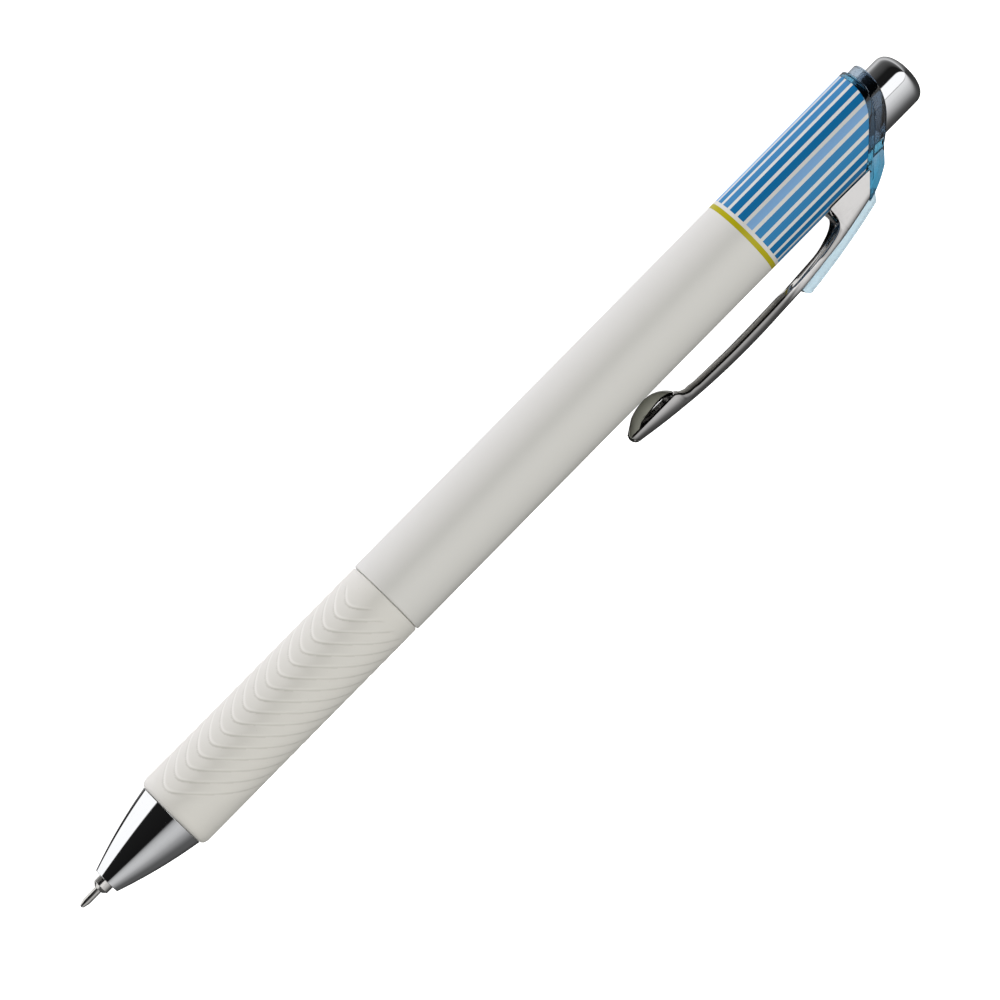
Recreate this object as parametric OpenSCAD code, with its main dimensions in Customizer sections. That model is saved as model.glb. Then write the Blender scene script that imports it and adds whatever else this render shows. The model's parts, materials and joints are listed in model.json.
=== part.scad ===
// Retractable gel pen: a rubber gripped barrel, a needle point refill, a push button with a turning latch,
// and a sprung metal clip on a clear plastic holder.
// Every piece is drawn about the pen's own axis, which is X from the writing point (0) to the push button,
// with the clip towards +Z. laid() then turns the pen as it lies on a table, resting on barrel and clip.
// All sizes are millimetres, with the writing point out.

/* [Nose] */
// Length of the writing tip that stands out of the nose
tip_reach = 4.45; // [3.8:0.05:5.5]
// Length of the nose cone
nose_length = 11.35; // [10.5:0.05:14]
// Outer radius of the nose at its mouth
nose_front_r = 1.82; // [1.7:0.02:2.2]
// Outer radius of the nose where it meets the grip
nose_rear_r = 4.77; // [4.6:0.01:5]
// How far the nose bulges out of a straight cone
nose_bulge = 0.26; // [0:0.01:0.35]
// Depth of the guide bore, from the nose's mouth to the spring's seat
nose_guide = 3.15; // [2.8:0.05:4]
// Length of the threaded spigot inside the nose
thread_length = 2.9; // [2:0.1:4]
// Wall of the spigot under its thread
spigot_wall = 0.35; // [0.28:0.01:0.43]
// Height of one thread ridge
thread_depth = 0.22; // [0.1:0.02:0.25]
// Distance between thread ridges
thread_pitch = 0.8; // [0.6:0.1:1]

/* [Grip] */
// Length of the rubber grip
grip_length = 37.3; // [30:0.1:45]
// Outer radius of the grip
grip_r = 5.35; // [5.1:0.01:5.4]
// Thickness of the grip
grip_wall = 1.02; // [0.6:0.02:1.1]
// Radius of the rounded edges of the grip
grip_round = 0.55; // [0.2:0.05:0.6]

/* [Barrel] */
// Length of the barrel from the grip to its rear edge
barrel_length = 85; // [80:0.5:110]
// Outer radius of the barrel
barrel_r = 5.45; // [5.4:0.01:6.6]
// Wall of the barrel around the mechanism
barrel_wall = 1.1; // [0.8:0.05:1.2]
// Small bevel on the front edge of the barrel
barrel_bevel = 0.25; // [0:0.05:0.4]
// Slope of the rear edge on the clip's side, from square across
top_slope = 42.4; // [30:0.2:46]
// Height above the barrel's plain side at which the rear edge would break into its slope
top_break = 3.37; // [2.5:0.01:4.5]
// Radius that rounds that break
top_bend = 6.5; // [4:0.1:8]

/* [Refill] */
// Length of the refill, from the writing ball to the end of its tail plug
refill_length = 111.6; // [100:0.1:120]
// Outer radius of the ink tube
refill_r = 3; // [2.5:0.05:3]
// Wall of the ink tube
refill_wall = 0.45; // [0.3:0.05:0.6]
// Radius of the writing ball
ball_r = 0.25; // [0.2:0.01:0.3]
// How far the ball stands out of the needle
ball_out = 0.16; // [0.14:0.01:0.18]
// Gap around the ball in its socket
socket_gap = 0.01; // [0.005:0.005:0.02]
// Wall of the needle around the ball
needle_wall = 0.05; // [0.03:0.01:0.08]
// Length of the needle's cone
needle_cone = 1; // [0.8:0.1:1.5]
// Radius of the needle's ink feed
feed_r = 0.13; // [0.12:0.01:0.16]
// Radius of the needle
needle_r = 0.5; // [0.45:0.01:0.6]
// Length of the needle in front of its holder
needle_out = 3; // [2.4:0.1:3.5]
// Length of the needle inside its holder
needle_in = 4; // [2:0.1:5]
// Height of the tip holder's front face around the needle
holder_lip = 0.12; // [0.05:0.01:0.2]
// Length of the cone at the tip holder's front
holder_cone = 0.45; // [0.3:0.05:0.8]
// Radius of the metal tip holder
tip_holder_r = 1.1; // [1:0.02:1.2]
// Length of the metal tip holder
tip_holder_length = 10; // [9:0.1:11]
// Length of the tip holder that is pressed into the joint
tip_holder_in = 3.6; // [2:0.1:5]
// Radius of the thin front of the joint
joint_r = 1.6; // [1.5:0.02:1.7]
// Length of the thin front of the joint
joint_nose = 9.8; // [9:0.1:11]
// Length of the joint's collar, which the return spring pushes on
joint_collar = 0.8; // [0.5:0.1:1.5]
// How far the joint's collar lies under the tube's surface
collar_step = 0.2; // [0.1:0.05:0.25]
// Length of the joint inside the ink tube
joint_in = 4; // [3:0.1:6]
// Radius of the ink passage
ink_way = 0.65; // [0.5:0.05:0.8]
// Length of the column of ink
ink_length = 64; // [20:1:70]
// Length of the clear follower behind the ink
follower_length = 6; // [3:0.5:8]
// Length of the tail plug inside the tube
plug_in = 5; // [3:0.1:8]
// Thickness of the tail plug's head
plug_head = 0.9; // [0.5:0.1:1.5]
// How far the tail plug's head lies under the tube's surface
plug_step = 0.05; // [0:0.05:0.2]
// Radius of the air hole in the tail plug
vent_r = 0.6; // [0.3:0.05:1]

/* [Springs] */
// Wire radius of the return spring
spring_wire = 0.175; // [0.12:0.005:0.2]
// Gap around the refill's joint inside the return spring
spring_slack = 0.25; // [0.2:0.01:0.3]
// Turns of the return spring that work
spring_turns = 8; // [5:1:10]
// Closed turns at each end of the return spring
spring_closed = 1.5; // [1:0.5:2]
// Gap between closed turns
turn_gap = 0.02; // [0.01:0.01:0.05]
// Wire radius of the small spring behind the writing ball
ball_wire = 0.07; // [0.05:0.01:0.08]
// Turns of the small spring
ball_turns = 6; // [4:1:8]
// Length of the coiled part of the small spring
ball_coil = 3.4; // [3:0.1:4]
// Length of the wire's bend from the straight front into the coil
ball_lead = 1; // [0.6:0.1:1.4]

/* [Mechanism] */
// How far the writing point draws back
stroke = 5; // [4.6:0.1:6]
// How far the button can be pushed past its latched place
overtravel = 1.3; // [0.8:0.1:1.4]
// Ribs on the rotor, the plunger and the guide
rib_count = 4; // [3:1:4]
// Width of a rib
rib_w = 1.4; // [1:0.1:1.6]
// Height of a rib
rib_h = 0.8; // [0.5:0.05:0.85]
// Length of a rotor rib
rotor_rib = 3.1; // [2.5:0.1:4]
// Length of a plunger rib
plunger_rib = 4.5; // [3:0.1:5]
// Radius of the rotor's and the plunger's body
mech_r = 2.95; // [2.45:0.05:3]
// Plain front of the rotor, which pushes on the refill
rotor_skirt = 1.3; // [1:0.1:2]
// Radius of the hollow in the rotor's front
rotor_hollow_r = 1.2; // [0.8:0.1:1.5]
// Depth of the hollow in the rotor's front
rotor_hollow = 3; // [2:0.1:4]
// Radius of the rotor's tail, which centres it in the plunger
rotor_tail_r = 1.9; // [1.5:0.05:2]
// Length of the rotor's tail
rotor_tail = 4; // [3:0.1:5]
// Plain length between the plunger's crown and its ribs
plunger_plain = 1; // [0.6:0.1:1.5]
// Teeth on the rotor's and the plunger's crowns
tooth_count = 8; // [6:2:8]
// Height of a crown tooth
tooth_h = 0.8; // [0.5:0.05:1]
// Height of a ramp on the guide
ramp_h = 0.8; // [0.5:0.05:1]

/* [Push button] */
// How far the button stands out behind the barrel's rear edge
button_reach = 6.6; // [5.8:0.1:8]
// Outer radius of the button
button_r = 3.62; // [3:0.02:3.7]
// Wall of the button
button_wall = 0.65; // [0.5:0.05:0.7]
// Bevel on the button's front edge
button_bevel = 0.1; // [0.05:0.05:0.2]
// Depth of the button's domed end
button_dome = 2; // [1:0.1:2.5]
// Thickness of the button's end at its middle
button_end = 1.6; // [1.2:0.1:2]

/* [Clip holder] */
// Width of the rim that follows the barrel's rear edge
rim_w = 0.85; // [0.5:0.05:1]
// Width of the groove behind the rim
rim_groove = 0.2; // [0.1:0.05:0.3]
// Distance from the barrel's rear edge to the collar's rear edge
collar_w = 2.5; // [2:0.05:2.6]
// How far the collar lies under the barrel's surface
collar_drop = 0.5; // [0.35:0.05:0.65]
// How far the bottom of the groove lies under the barrel's surface
groove_drop = 0.75; // [0.7:0.05:0.95]
// Thickness of the lip that stops the plunger
lip_w = 0.8; // [0.5:0.1:1]
// Height of the wing over the barrel's surface where it leaves the clip
wing_rise = 2.2; // [1.75:0.05:2.3]
// Where the wing leaves the clip, in front of the barrel's rear edge
wing_x = 7.6; // [7:0.1:8]
// Drop of the wing's back for each millimetre, where it leaves the clip
wing_fall = 0.32; // [0.2:0.01:0.4]
// How fast the wing's back curves down
wing_curve = 0.042; // [0.03:0.001:0.05]

/* [Clip] */
// Thickness of the clip's sheet
clip_t = 0.45; // [0.3:0.05:0.5]
// Length of the clip, from its front tip to the barrel's rear edge
clip_length = 50.2; // [44:0.1:55]
// Height of the clip's back over the barrel's surface at the top of its arch
clip_rise = 4.5; // [4.05:0.05:5.05]
// Place of the top of the arch, in front of the barrel's rear edge
clip_peak_x = 31.5; // [27:0.1:33]
// Radius of the arched back
clip_arch = 104; // [95:1:130]
// Half the width of the clip's front end
clip_front_w = 2; // [1.8:0.05:2.2]
// Radius of the front end's corners, seen from above
clip_corner = 0.8; // [0.5:0.05:1.2]
// Half the width of the clip's root
clip_root_w = 3.1; // [3:0.05:3.2]
// Distance from the barrel's rear edge back to the root's rear edge
root_rim = 0.35; // [0.2:0.05:0.5]
// Length of the root that wraps the holder
clip_root = 12.7; // [12:0.1:14]
// Radius of the curve from the root's front edge into the arm's side
root_curve = 1.6; // [1.2:0.1:2]
// Depth of the channel's sides along the arm
clip_side = 0.85; // [0.7:0.05:1.2]
// Length of the deeper front end
spoon_length = 8.2; // [7:0.1:9]
// Height over the barrel's surface of the sides at the front end
spoon_rise = 2.27; // [2.05:0.02:2.55]
// Radius of the curve from the front end's sides into the arm's
spoon_curve = 1; // [0.6:0.05:1.1]
// Distance from the clip's front tip to the point where it touches the barrel
bump_x = 4.7; // [4:0.1:5]
// Radius of the bump in front of that point
bump_front_r = 7; // [6.5:0.1:7.5]
// Radius of the bump behind that point
bump_rear_r = 3.9; // [3.5:0.1:4.5]
// Radius of the turn at the clip's front tip
tip_turn = 0.95; // [0.6:0.05:1]

/* [Clip inlay] */
// Thickness of the inlay on the clip's back
inlay_t = 1.45; // [0.8:0.05:1.6]
// Half the width of the inlay
inlay_w = 1.5; // [1.2:0.05:1.8]
// Distance from the barrel's rear edge to the inlay's front end
inlay_front = 21.9; // [20:0.1:24]
// Distance from the barrel's rear edge to the inlay's rear end
inlay_rear = 7.4; // [7.3:0.1:8]
// Length of the slope at the inlay's front end
inlay_nose = 1; // [0.6:0.1:1.4]
// Bevel along the inlay's upper edges
inlay_bevel = 0.3; // [0.1:0.05:0.5]
// Radius of the two pegs that hold the inlay
peg_r = 0.5; // [0.4:0.05:0.6]
// Distance from the inlay's front end to its front peg
peg_in = 3; // [2:0.1:4]
// How far a peg reaches past both faces of the clip
peg_reach = 0.3; // [0.2:0.05:0.35]

/* [Clearances] */
// Radial gap of pieces that are pressed or bonded together
press_gap = 0.02; // [0.01:0.01:0.03]
// Radial gap of pieces that slide
slide_gap = 0.15; // [0.1:0.01:0.16]
// Gap between faces that rest on each other
seat_gap = 0.05; // [0.03:0.01:0.08]
// Gap between the clip and what it wraps
clip_gap = 0.2; // [0.15:0.01:0.25]

/* [Hidden] */
$fn = 64;
far = 300;      // longer than the pen, for cuts that run past it
wide = 20;      // wider than the pen, for cuts across it
cut = 0.5;      // how far a cutting solid runs past a face

// Places along the axis, counted from the writing point.
nose_x = tip_reach;
grip_x = nose_x + nose_length;
barrel_x = grip_x + grip_length;
rear_x = barrel_x + barrel_length;
spring_x = nose_x + nose_guide;
thread_x = grip_x - thread_length;
joint_x = needle_out + tip_holder_length - tip_holder_in;
collar_x = joint_x + joint_nose;
tube_x = collar_x + joint_collar;
ink_x = tube_x + joint_in;
follower_x = ink_x + ink_length;
head_x = refill_length - plug_head;
needle_end_x = needle_out + needle_in;

// The mechanism is stacked behind the refill.
rotor_x = refill_length + seat_gap;
rotor_rib_x = rotor_x + rotor_skirt;
guide_x = rotor_rib_x + rotor_rib + 2 * slide_gap;
crown_x = rotor_rib_x + rotor_rib + tooth_h;
plunger_x = crown_x + slide_gap;
plunger_rib_x = plunger_x + tooth_h + plunger_plain;
sleeve_x = rotor_x - overtravel - slide_gap;
holder_x = plunger_rib_x + plunger_rib + stroke + slide_gap;
button_x = holder_x + lip_w + overtravel + slide_gap;
end_x = rear_x + button_reach;

// Radii that follow from what fits inside what.
bore_r = refill_r + slide_gap;
seat_r = grip_r - grip_wall;
thread_root_r = bore_r + spigot_wall;
thread_r = thread_root_r + thread_depth;
chamber_r = barrel_r - barrel_wall;
sleeve_r = chamber_r - press_gap;
rib_r = mech_r + rib_h;
slot_r = rib_r + slide_gap;
guide_r = mech_r + slide_gap;
holder_r = button_r + slide_gap;
spring_r = joint_r + spring_slack + 2 * spring_wire;
tube_bore = refill_r - refill_wall;
plug_r = tube_bore - press_gap;
button_bore = button_r - button_wall;
collar_r = barrel_r - collar_drop;
groove_r = barrel_r - groove_drop;
socket_r = ball_r + socket_gap;

// The clip's outline, seen from the side. Its root is drawn past the slanted edge that cuts it off.
clip_peak = barrel_r + clip_rise;
spoon_z = barrel_r + spoon_rise;
wing_z = barrel_r + wing_rise;
peak_x = rear_x - clip_peak_x;
clip_tip_x = rear_x - clip_length;
root_x = rear_x - clip_root;
root_end_x = rear_x - 3;
spoon_x = clip_tip_x + spoon_length;
wing_from_x = rear_x - wing_x;
wing_lap = 1;       // how far the wing is drawn in front of that place, before the slanted edge cuts it
tab_lap = 1.5;      // how far the tab under the clip runs on into the wing
tab_x = root_x + clip_t + clip_gap;
bump_z = barrel_r + clip_gap / 2;
// Directions of the folded strip's arcs: where it leaves the front tip, and where its rear end is.
fold_turn = 243;
bump_turn = 326;
inlay_x = rear_x - inlay_front;
inlay_end_x = rear_x - inlay_rear + clip_gap / 2;
inlay_end_z = back_z(inlay_end_x) - clip_gap / 2;
inlay_corner_z = back_z(inlay_x + inlay_nose) + inlay_t - inlay_bevel;
lie_turn = asin(barrel_r / norm([inlay_corner_z, inlay_w])) - atan(inlay_w / inlay_corner_z);

function arc(centre, r, from, to, steps = 8) =
    [for (i = [0:steps]) let (a = from + (to - from) * i / steps) centre + r * [cos(a), sin(a)]];
function without_first(list) = [for (i = [1:len(list) - 1]) list[i]];
function reversed(list) = [for (i = [len(list) - 1:-1:0]) list[i]];
function unit(v) = v / norm(v);

// Height of the clip's back over the axis.
function back_z(x, drop = 0) = clip_peak - clip_arch + sqrt(pow(clip_arch - drop, 2) - pow(x - peak_x, 2));
function back_line(from, to, drop = 0, steps = 14) =
    [for (i = [0:steps]) let (x = from + (to - from) * i / steps) [x, back_z(x, drop)]];

// The barrel's rear edge seen from the side, moved back by a distance that is the same all along it.
bend_centre = [rear_x - top_bend, top_break - barrel_r - top_bend * tan(top_slope / 2)];
function top_edge(out) = let (r = top_bend + out, end = bend_centre + r * [cos(top_slope), sin(top_slope)])
    concat([[rear_x + out, -wide]], arc(bend_centre, r, 0, top_slope),
        [end + wide * [-sin(top_slope), cos(top_slope)]]);
function top_line_x(z, out) = let (p = bend_centre + (top_bend + out) * [cos(top_slope), sin(top_slope)])
    p[0] - (z - p[1]) * tan(top_slope);

// A closed tube swept along a path, with the same side kept outwards from ring to ring.
function along(path) = let (last = len(path) - 1)
    [for (i = [0:last]) unit(path[min(i + 1, last)] - path[max(i - 1, 0)])];
function square_to(v, t) = unit(v - (v * t) * t);
function sideways(t) = let (start = [0, 1, 0.3], last = len(t) - 1)
    [for (i = 0, n = square_to(start, t[0]); i <= last; i = i + 1, n = square_to(n, t[min(i, last)])) n];
module wire(path, r, sides = 6) {
    t = along(path);
    n = sideways(t);
    rings = len(path);
    points = [for (i = [0:rings - 1]) for (k = [0:sides - 1])
        let (a = 360 * k / sides)
        path[i] + r * (cos(a) * n[i] + sin(a) * cross(t[i], n[i]))];
    walls = [for (i = [0:rings - 2]) for (k = [0:sides - 1])
        let (a = i * sides + k, b = i * sides + (k + 1) % sides)
        each [[a, b + sides, b], [a, a + sides, b + sides]]];
    ends = [[for (k = [0:sides - 1]) k], [for (k = [sides - 1:-1:0]) (rings - 1) * sides + k]];
    polyhedron(points, concat(walls, ends));
}

// Centre line of the return spring, with closed turns at both ends.
function spring_path(from, to, steps = 16) =
    let (first = from + spring_wire, last = to - spring_wire, closed = 2 * spring_wire + turn_gap,
        total = spring_turns + 2 * spring_closed,
        open = (last - first - 2 * spring_closed * closed) / spring_turns)
    [for (i = [0:steps * total]) let (turn = i / steps, a = 360 * turn,
        x = first + min(turn, spring_closed) * closed
            + min(max(turn - spring_closed, 0), spring_turns) * open
            + max(turn - spring_closed - spring_turns, 0) * closed)
        [x, (spring_r - spring_wire) * cos(a), (spring_r - spring_wire) * sin(a)]];

// Centre line of the spring behind the ball: a straight wire up the needle, then a coil.
function ball_path(ball_end, from, steps = 12) = let (r = ink_way - slide_gap - ball_wire)
    concat([[ball_end, 0, 0]],
        [for (i = [0:3]) let (u = i / 4) [from - ball_lead * (1 - u), r * u * u, 0]],
        [for (i = [0:steps * ball_turns]) let (a = 360 * i / steps)
            [from + ball_coil * i / (steps * ball_turns), r * cos(a), r * sin(a)]]);

// Turns the pen so that it lies on its barrel with the clip's inlay touching the table.
module laid() rotate([90 + lie_turn, 0, 0]) children();

// A solid turned about the pen's axis from [x, radius] points.
module turned(outline) rotate([0, 90, 0]) rotate_extrude() polygon([for (p = outline) [p[1], p[0]]]);
module rod(from, to, r) translate([from, 0, 0]) rotate([0, 90, 0]) cylinder(h = to - from, r = r);
module pipe(from, to, r, bore) difference() { rod(from, to, r); rod(from - cut, to + cut, bore); }
// A side view given as [x, z] points, made w thick across the clip.
module slab(outline, w) rotate([90, 0, 0]) linear_extrude(height = w, center = true) polygon(outline);
// A plan given as [x, y] points, made tall along Z.
module plan(outline) linear_extrude(height = wide) polygon(outline);
module around(count, turn = 0) for (k = [0:count - 1]) rotate([360 * k / count + turn, 0, 0]) children();
module before_edge(out) slab(concat([[-far, wide], [-far, -wide]], top_edge(out)), wide);
module between_edges(near, away) slab(concat(top_edge(near), reversed(top_edge(away))), wide);

// Ribs with a slanted rear face, and crown teeth cut into a face that looks backwards (1) or forwards (-1).
module ribs(from, length, slant) around(rib_count) intersection() {
    plan([[from, -rib_w / 2], [from, rib_w / 2],
        [from + length - slant, rib_w / 2], [from + length, -rib_w / 2]]);
    rod(from - cut, from + length + cut, rib_r);
}
module crown_cuts(face, way, turn) {
    w = mech_r * tan(180 / tooth_count);
    out = face + way * seat_gap / 5;
    around(tooth_count, turn) plan([[out, -w], [out, w], [face - way * tooth_h, 0]]);
}

module barrel() color("whitesmoke") laid() difference() {
    intersection() {
        union() {
            turned([[thread_x, 0], [thread_x, thread_root_r], [grip_x, thread_root_r],
                [grip_x, seat_r - press_gap], [barrel_x, seat_r - press_gap],
                [barrel_x, barrel_r - barrel_bevel], [barrel_x + barrel_bevel, barrel_r],
                [rear_x + cut, barrel_r], [rear_x + cut, 0]]);
            for (x = [thread_x + thread_pitch / 2:thread_pitch:grip_x - thread_pitch / 2]) thread_ridge(x);
        }
        before_edge(0);
    }
    rod(thread_x - cut, sleeve_x + cut, bore_r);
    rod(sleeve_x, rear_x + far, chamber_r);
}

module thread_ridge(x) {
    crest = x + (thread_pitch - thread_depth) / 2;
    foot = crest + thread_depth;
    turned([[x, 0], [x, thread_root_r], [x + thread_depth, thread_r], [crest, thread_r],
        [foot, thread_root_r], [foot, 0]]);
}

module grip() color("ivory") laid() {
    front = grip_x + seat_gap;
    rear = barrel_x - seat_gap;
    turned(concat(
        [[front, seat_r]],
        [for (a = [0:15:90])
            [front + 2 * grip_round * (1 - cos(a)), nose_rear_r + (grip_r - nose_rear_r) * sin(a)]],
        arc([rear - grip_round / 2, grip_r - grip_round / 2], grip_round / 2, 90, 0, 4),
        [[rear, seat_r]]));
}

module nose_cone() color("silver") laid() difference() {
    turned(concat([[nose_x, 0]],
        [for (i = [0:12]) let (u = i / 12, bulge = 4 * nose_bulge * u * (1 - u))
            [nose_x + u * nose_length, nose_front_r + u * (nose_rear_r - nose_front_r) + bulge]],
        [[grip_x, 0]]));
    rod(nose_x - cut, grip_x, tip_holder_r + slide_gap);
    rod(spring_x, grip_x, spring_r + slide_gap);
    rod(thread_x - seat_gap, grip_x + cut, thread_r + seat_gap);
}

module cam_guide() color("lightgray") laid() {
    front = sleeve_x + seat_gap;
    rear = holder_x - seat_gap;
    slot = rib_w / 2 + slide_gap;
    pipe(front, rear, sleeve_r, slot_r);
    difference() {
        pipe(guide_x, rear, (sleeve_r + slot_r) / 2, guide_r);
        around(rib_count) plan([[guide_x - cut, -slot], [guide_x - cut, slot],
            [rear + cut, slot], [rear + cut, -slot]]);
        // two ramps between one slot and the next turn the rotor on
        around(rib_count, 180 / rib_count) plan([[guide_x - cut, -slot_r], [guide_x, -slot_r],
            [guide_x + ramp_h, -slide_gap], [guide_x, slide_gap],
            [guide_x + ramp_h, slot_r], [guide_x - cut, slot_r]]);
    }
}

module clip_holder() color("teal") laid() difference() {
    union() {
        intersection() { rod(holder_x, rear_x + far, sleeve_r); before_edge(collar_w); }
        ring(barrel_r, seat_gap, rim_w);
        ring(groove_r, rim_w - seat_gap, rim_w + rim_groove + seat_gap);
        ring(collar_r, rim_w + rim_groove, collar_w);
        difference() {
            wing();
            intersection() { rod(root_x - cut, rear_x, barrel_r + clip_gap); before_edge(seat_gap); }
        }
    }
    rod(holder_x - cut, rear_x + far, guide_r);
    rod(holder_x + lip_w, rear_x + far, holder_r);
}
// A slanted ring that follows the barrel's rear edge, between two distances from it.
module ring(r, near, away) intersection() {
    rod(root_x, rear_x + far, r);
    between_edges(near, away);
}
// The wing runs forwards under the clip's root as a tab, and shows behind it.
module wing() {
    w = 2 * (clip_root_w - clip_t - clip_gap);
    z = holder_r + slide_gap;
    run = top_line_x(z, collar_w) - wing_from_x;
    tab_end_x = wing_from_x + tab_lap;
    slab(concat([[tab_x, z]], back_line(tab_x, tab_end_x, clip_t + clip_gap, 5), [[tab_end_x, z]]), w);
    difference() {
        intersection() {
            slab(concat([[wing_from_x - wing_lap, z]],
                [for (i = [0:9]) let (s = (run + wing_lap) * i / 9 - wing_lap)
                    [wing_from_x + s, wing_z - wing_fall * s - wing_curve * s * s]],
                [[wing_from_x + run, z]]), w);
            between_edges(root_rim + clip_gap, collar_w);
        }
        // room for the inlay's rear end, which reaches over the clip's rear edge
        slab([[root_x, inlay_end_z], [inlay_end_x, inlay_end_z], [inlay_end_x, wide], [root_x, wide]], wide);
    }
}

// The clip's channel: its side view and its plan cross, less both moved in by the sheet's thickness.
module clip() color("gainsboro") laid() {
    difference() {
        intersection() {
            slab(clip_side_view(), wide);
            plan(clip_plan(0));
            before_edge(root_rim);
        }
        intersection() {
            slab(concat([[clip_tip_x + clip_t, -cut]], back_line(clip_tip_x + clip_t, root_end_x, clip_t),
                [[root_end_x, -cut]]), wide);
            plan(clip_plan(clip_t));
        }
        rod(root_x - 2 * root_curve, rear_x + far, barrel_r + clip_gap);
        pegs(peg_r + seat_gap);
    }
    intersection() {
        slab(tongue(), wide);
        plan(clip_plan(0));
    }
}
function clip_plan(inset) = let (a = clip_front_w - inset, b = clip_root_w - inset,
        corner_x = clip_tip_x + 2 * inset + clip_corner, corner_y = a - clip_corner)
    concat(
        arc([corner_x, -corner_y], clip_corner, 180, 270, 3),
        [[spoon_x, -a], [root_x, -b], [rear_x, -b], [rear_x, b], [root_x, b], [spoon_x, a]],
        arc([corner_x, corner_y], clip_corner, 90, 180, 3));
function clip_side_view() = concat(
    back_line(clip_tip_x + tip_turn, root_end_x, 0, 24),
    [[root_end_x, 0], [root_x, 0]],
    // the front edge of the root bends up into the arm's side
    arc([root_x - root_curve, back_z(root_x) - clip_side - root_curve], root_curve, 0, 90, 6),
    reversed(back_line(spoon_x + 4 * spoon_curve, root_x - root_curve - clip_gap, clip_side, 16)),
    // the arm's side drops into the deeper front end
    arc([spoon_x + spoon_curve, spoon_z], spoon_curve, 90, 180, 5),
    [[clip_tip_x + clip_t / 2, spoon_z]]);
// The strip's end turns under at the tip and comes back as a bump that rests on the barrel.
function tongue() = let (
        top = [clip_tip_x + tip_turn, back_z(clip_tip_x + tip_turn)],
        lean = asin((peak_x - top[0]) / clip_arch),
        turn = top + tip_turn * [sin(lean), -cos(lean)],
        low = [clip_tip_x + bump_x, bump_z])
    concat(
        arc(turn, tip_turn, 90 + lean, fold_turn),
        arc(low + [0, bump_front_r], bump_front_r, fold_turn, 270, 5),
        without_first(arc(low + [0, bump_rear_r], bump_rear_r, 270, bump_turn)),
        arc(low + [0, bump_rear_r], bump_rear_r - clip_t, bump_turn, 270),
        without_first(arc(low + [0, bump_front_r], bump_front_r - clip_t, 270, fold_turn, 5)),
        arc(turn, tip_turn - clip_t, fold_turn, 90 + lean));

module clip_inlay() color("powderblue") laid() {
    end_x = rear_x - inlay_rear;
    intersection() {
        slab(concat(
            back_line(inlay_x, end_x, -seat_gap),
            reversed(back_line(inlay_x + inlay_nose, end_x - inlay_t * tan(top_slope), -inlay_t)),
            [[inlay_x + inlay_nose / 4, back_z(inlay_x) + inlay_t - inlay_bevel]]), 2 * inlay_w);
        union() {
            inlay_slab(inlay_w, inlay_t - inlay_bevel);
            inlay_slab(inlay_w - inlay_bevel, inlay_t);
        }
    }
    pegs(peg_r);
}
module inlay_slab(w, t)
    slab(concat([[inlay_x - cut, 0]], back_line(inlay_x - cut, rear_x, -t), [[rear_x, 0]]), 2 * w);
module pegs(r) for (x = [inlay_x + peg_in, tab_x - 2 * peg_r])
    translate([x, 0, back_z(x) - clip_t - peg_reach]) cylinder(h = clip_t + 2 * peg_reach, r = r);

module button_cap() color("silver") laid() difference() {
    turned(concat([[button_x, 0], [button_x, button_r - button_bevel], [button_x + button_bevel, button_r]],
        [for (a = [0:7.5:90]) [end_x - button_dome + button_dome * sin(a), button_r * cos(a)]]));
    rod(button_x - cut, end_x - button_end, button_bore);
}

module plunger() color("white") laid() difference() {
    union() {
        rod(plunger_x, button_x - seat_gap, mech_r);
        rod(button_x - seat_gap, end_x - button_end - 2 * slide_gap, button_bore - press_gap);
        ribs(plunger_rib_x, plunger_rib, 0);
    }
    rod(plunger_x - cut, end_x, rotor_tail_r + slide_gap);
    crown_cuts(plunger_x, -1, 90 / tooth_count);
}

module rotor() color("white") laid() difference() {
    union() {
        difference() {
            union() {
                rod(rotor_x, crown_x, mech_r);
                ribs(rotor_rib_x, rotor_rib, rib_w * ramp_h / 4);
            }
            crown_cuts(crown_x, 1, 0);
        }
        rod(rotor_rib_x, crown_x + rotor_tail, rotor_tail_r);
    }
    rod(rotor_x - cut, rotor_x + rotor_hollow, rotor_hollow_r);
}

module return_spring() color("silver") laid()
    wire(spring_path(spring_x + seat_gap, collar_x - seat_gap), spring_wire);

module refill_tube() color("lightcyan") laid()
    pipe(tube_x + seat_gap, head_x - seat_gap, refill_r, tube_bore);

module refill_joint() color("aliceblue") laid() difference() {
    union() {
        rod(joint_x, collar_x + cut, joint_r);
        rod(collar_x, tube_x, refill_r - collar_step);
        rod(tube_x - cut, ink_x, plug_r);
    }
    rod(joint_x - cut, joint_x + tip_holder_in + seat_gap, tip_holder_r + press_gap);
    rod(joint_x, ink_x + cut, ink_way);
}

module tip_holder() color("silver") laid() difference() {
    turned([[needle_out, 0], [needle_out, needle_r + holder_lip], [needle_out + holder_cone, tip_holder_r],
        [joint_x + tip_holder_in, tip_holder_r], [joint_x + tip_holder_in, 0]]);
    rod(needle_out - cut, needle_end_x + seat_gap, needle_r + press_gap);
    rod(needle_end_x, joint_x + tip_holder_in + cut, ink_way);
}

// The ball sits in a socket whose lip is a little narrower than the ball.
module needle() color("silver") laid() turned([
    [ball_out, ball_r + needle_wall], [ball_out, ball_r - socket_gap / 2],
    [ball_r, socket_r], [ball_r + feed_r, socket_r], [2 * (ball_r - socket_gap), feed_r],
    [needle_end_x, feed_r], [needle_end_x, needle_r], [needle_cone, needle_r]]);
module writing_ball() color("gray") laid() translate([ball_r, 0, 0]) sphere(r = ball_r);

module ball_spring() color("silver") laid()
    wire(ball_path(2 * ball_r + seat_gap, needle_end_x + ball_lead + seat_gap), ball_wire);

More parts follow.
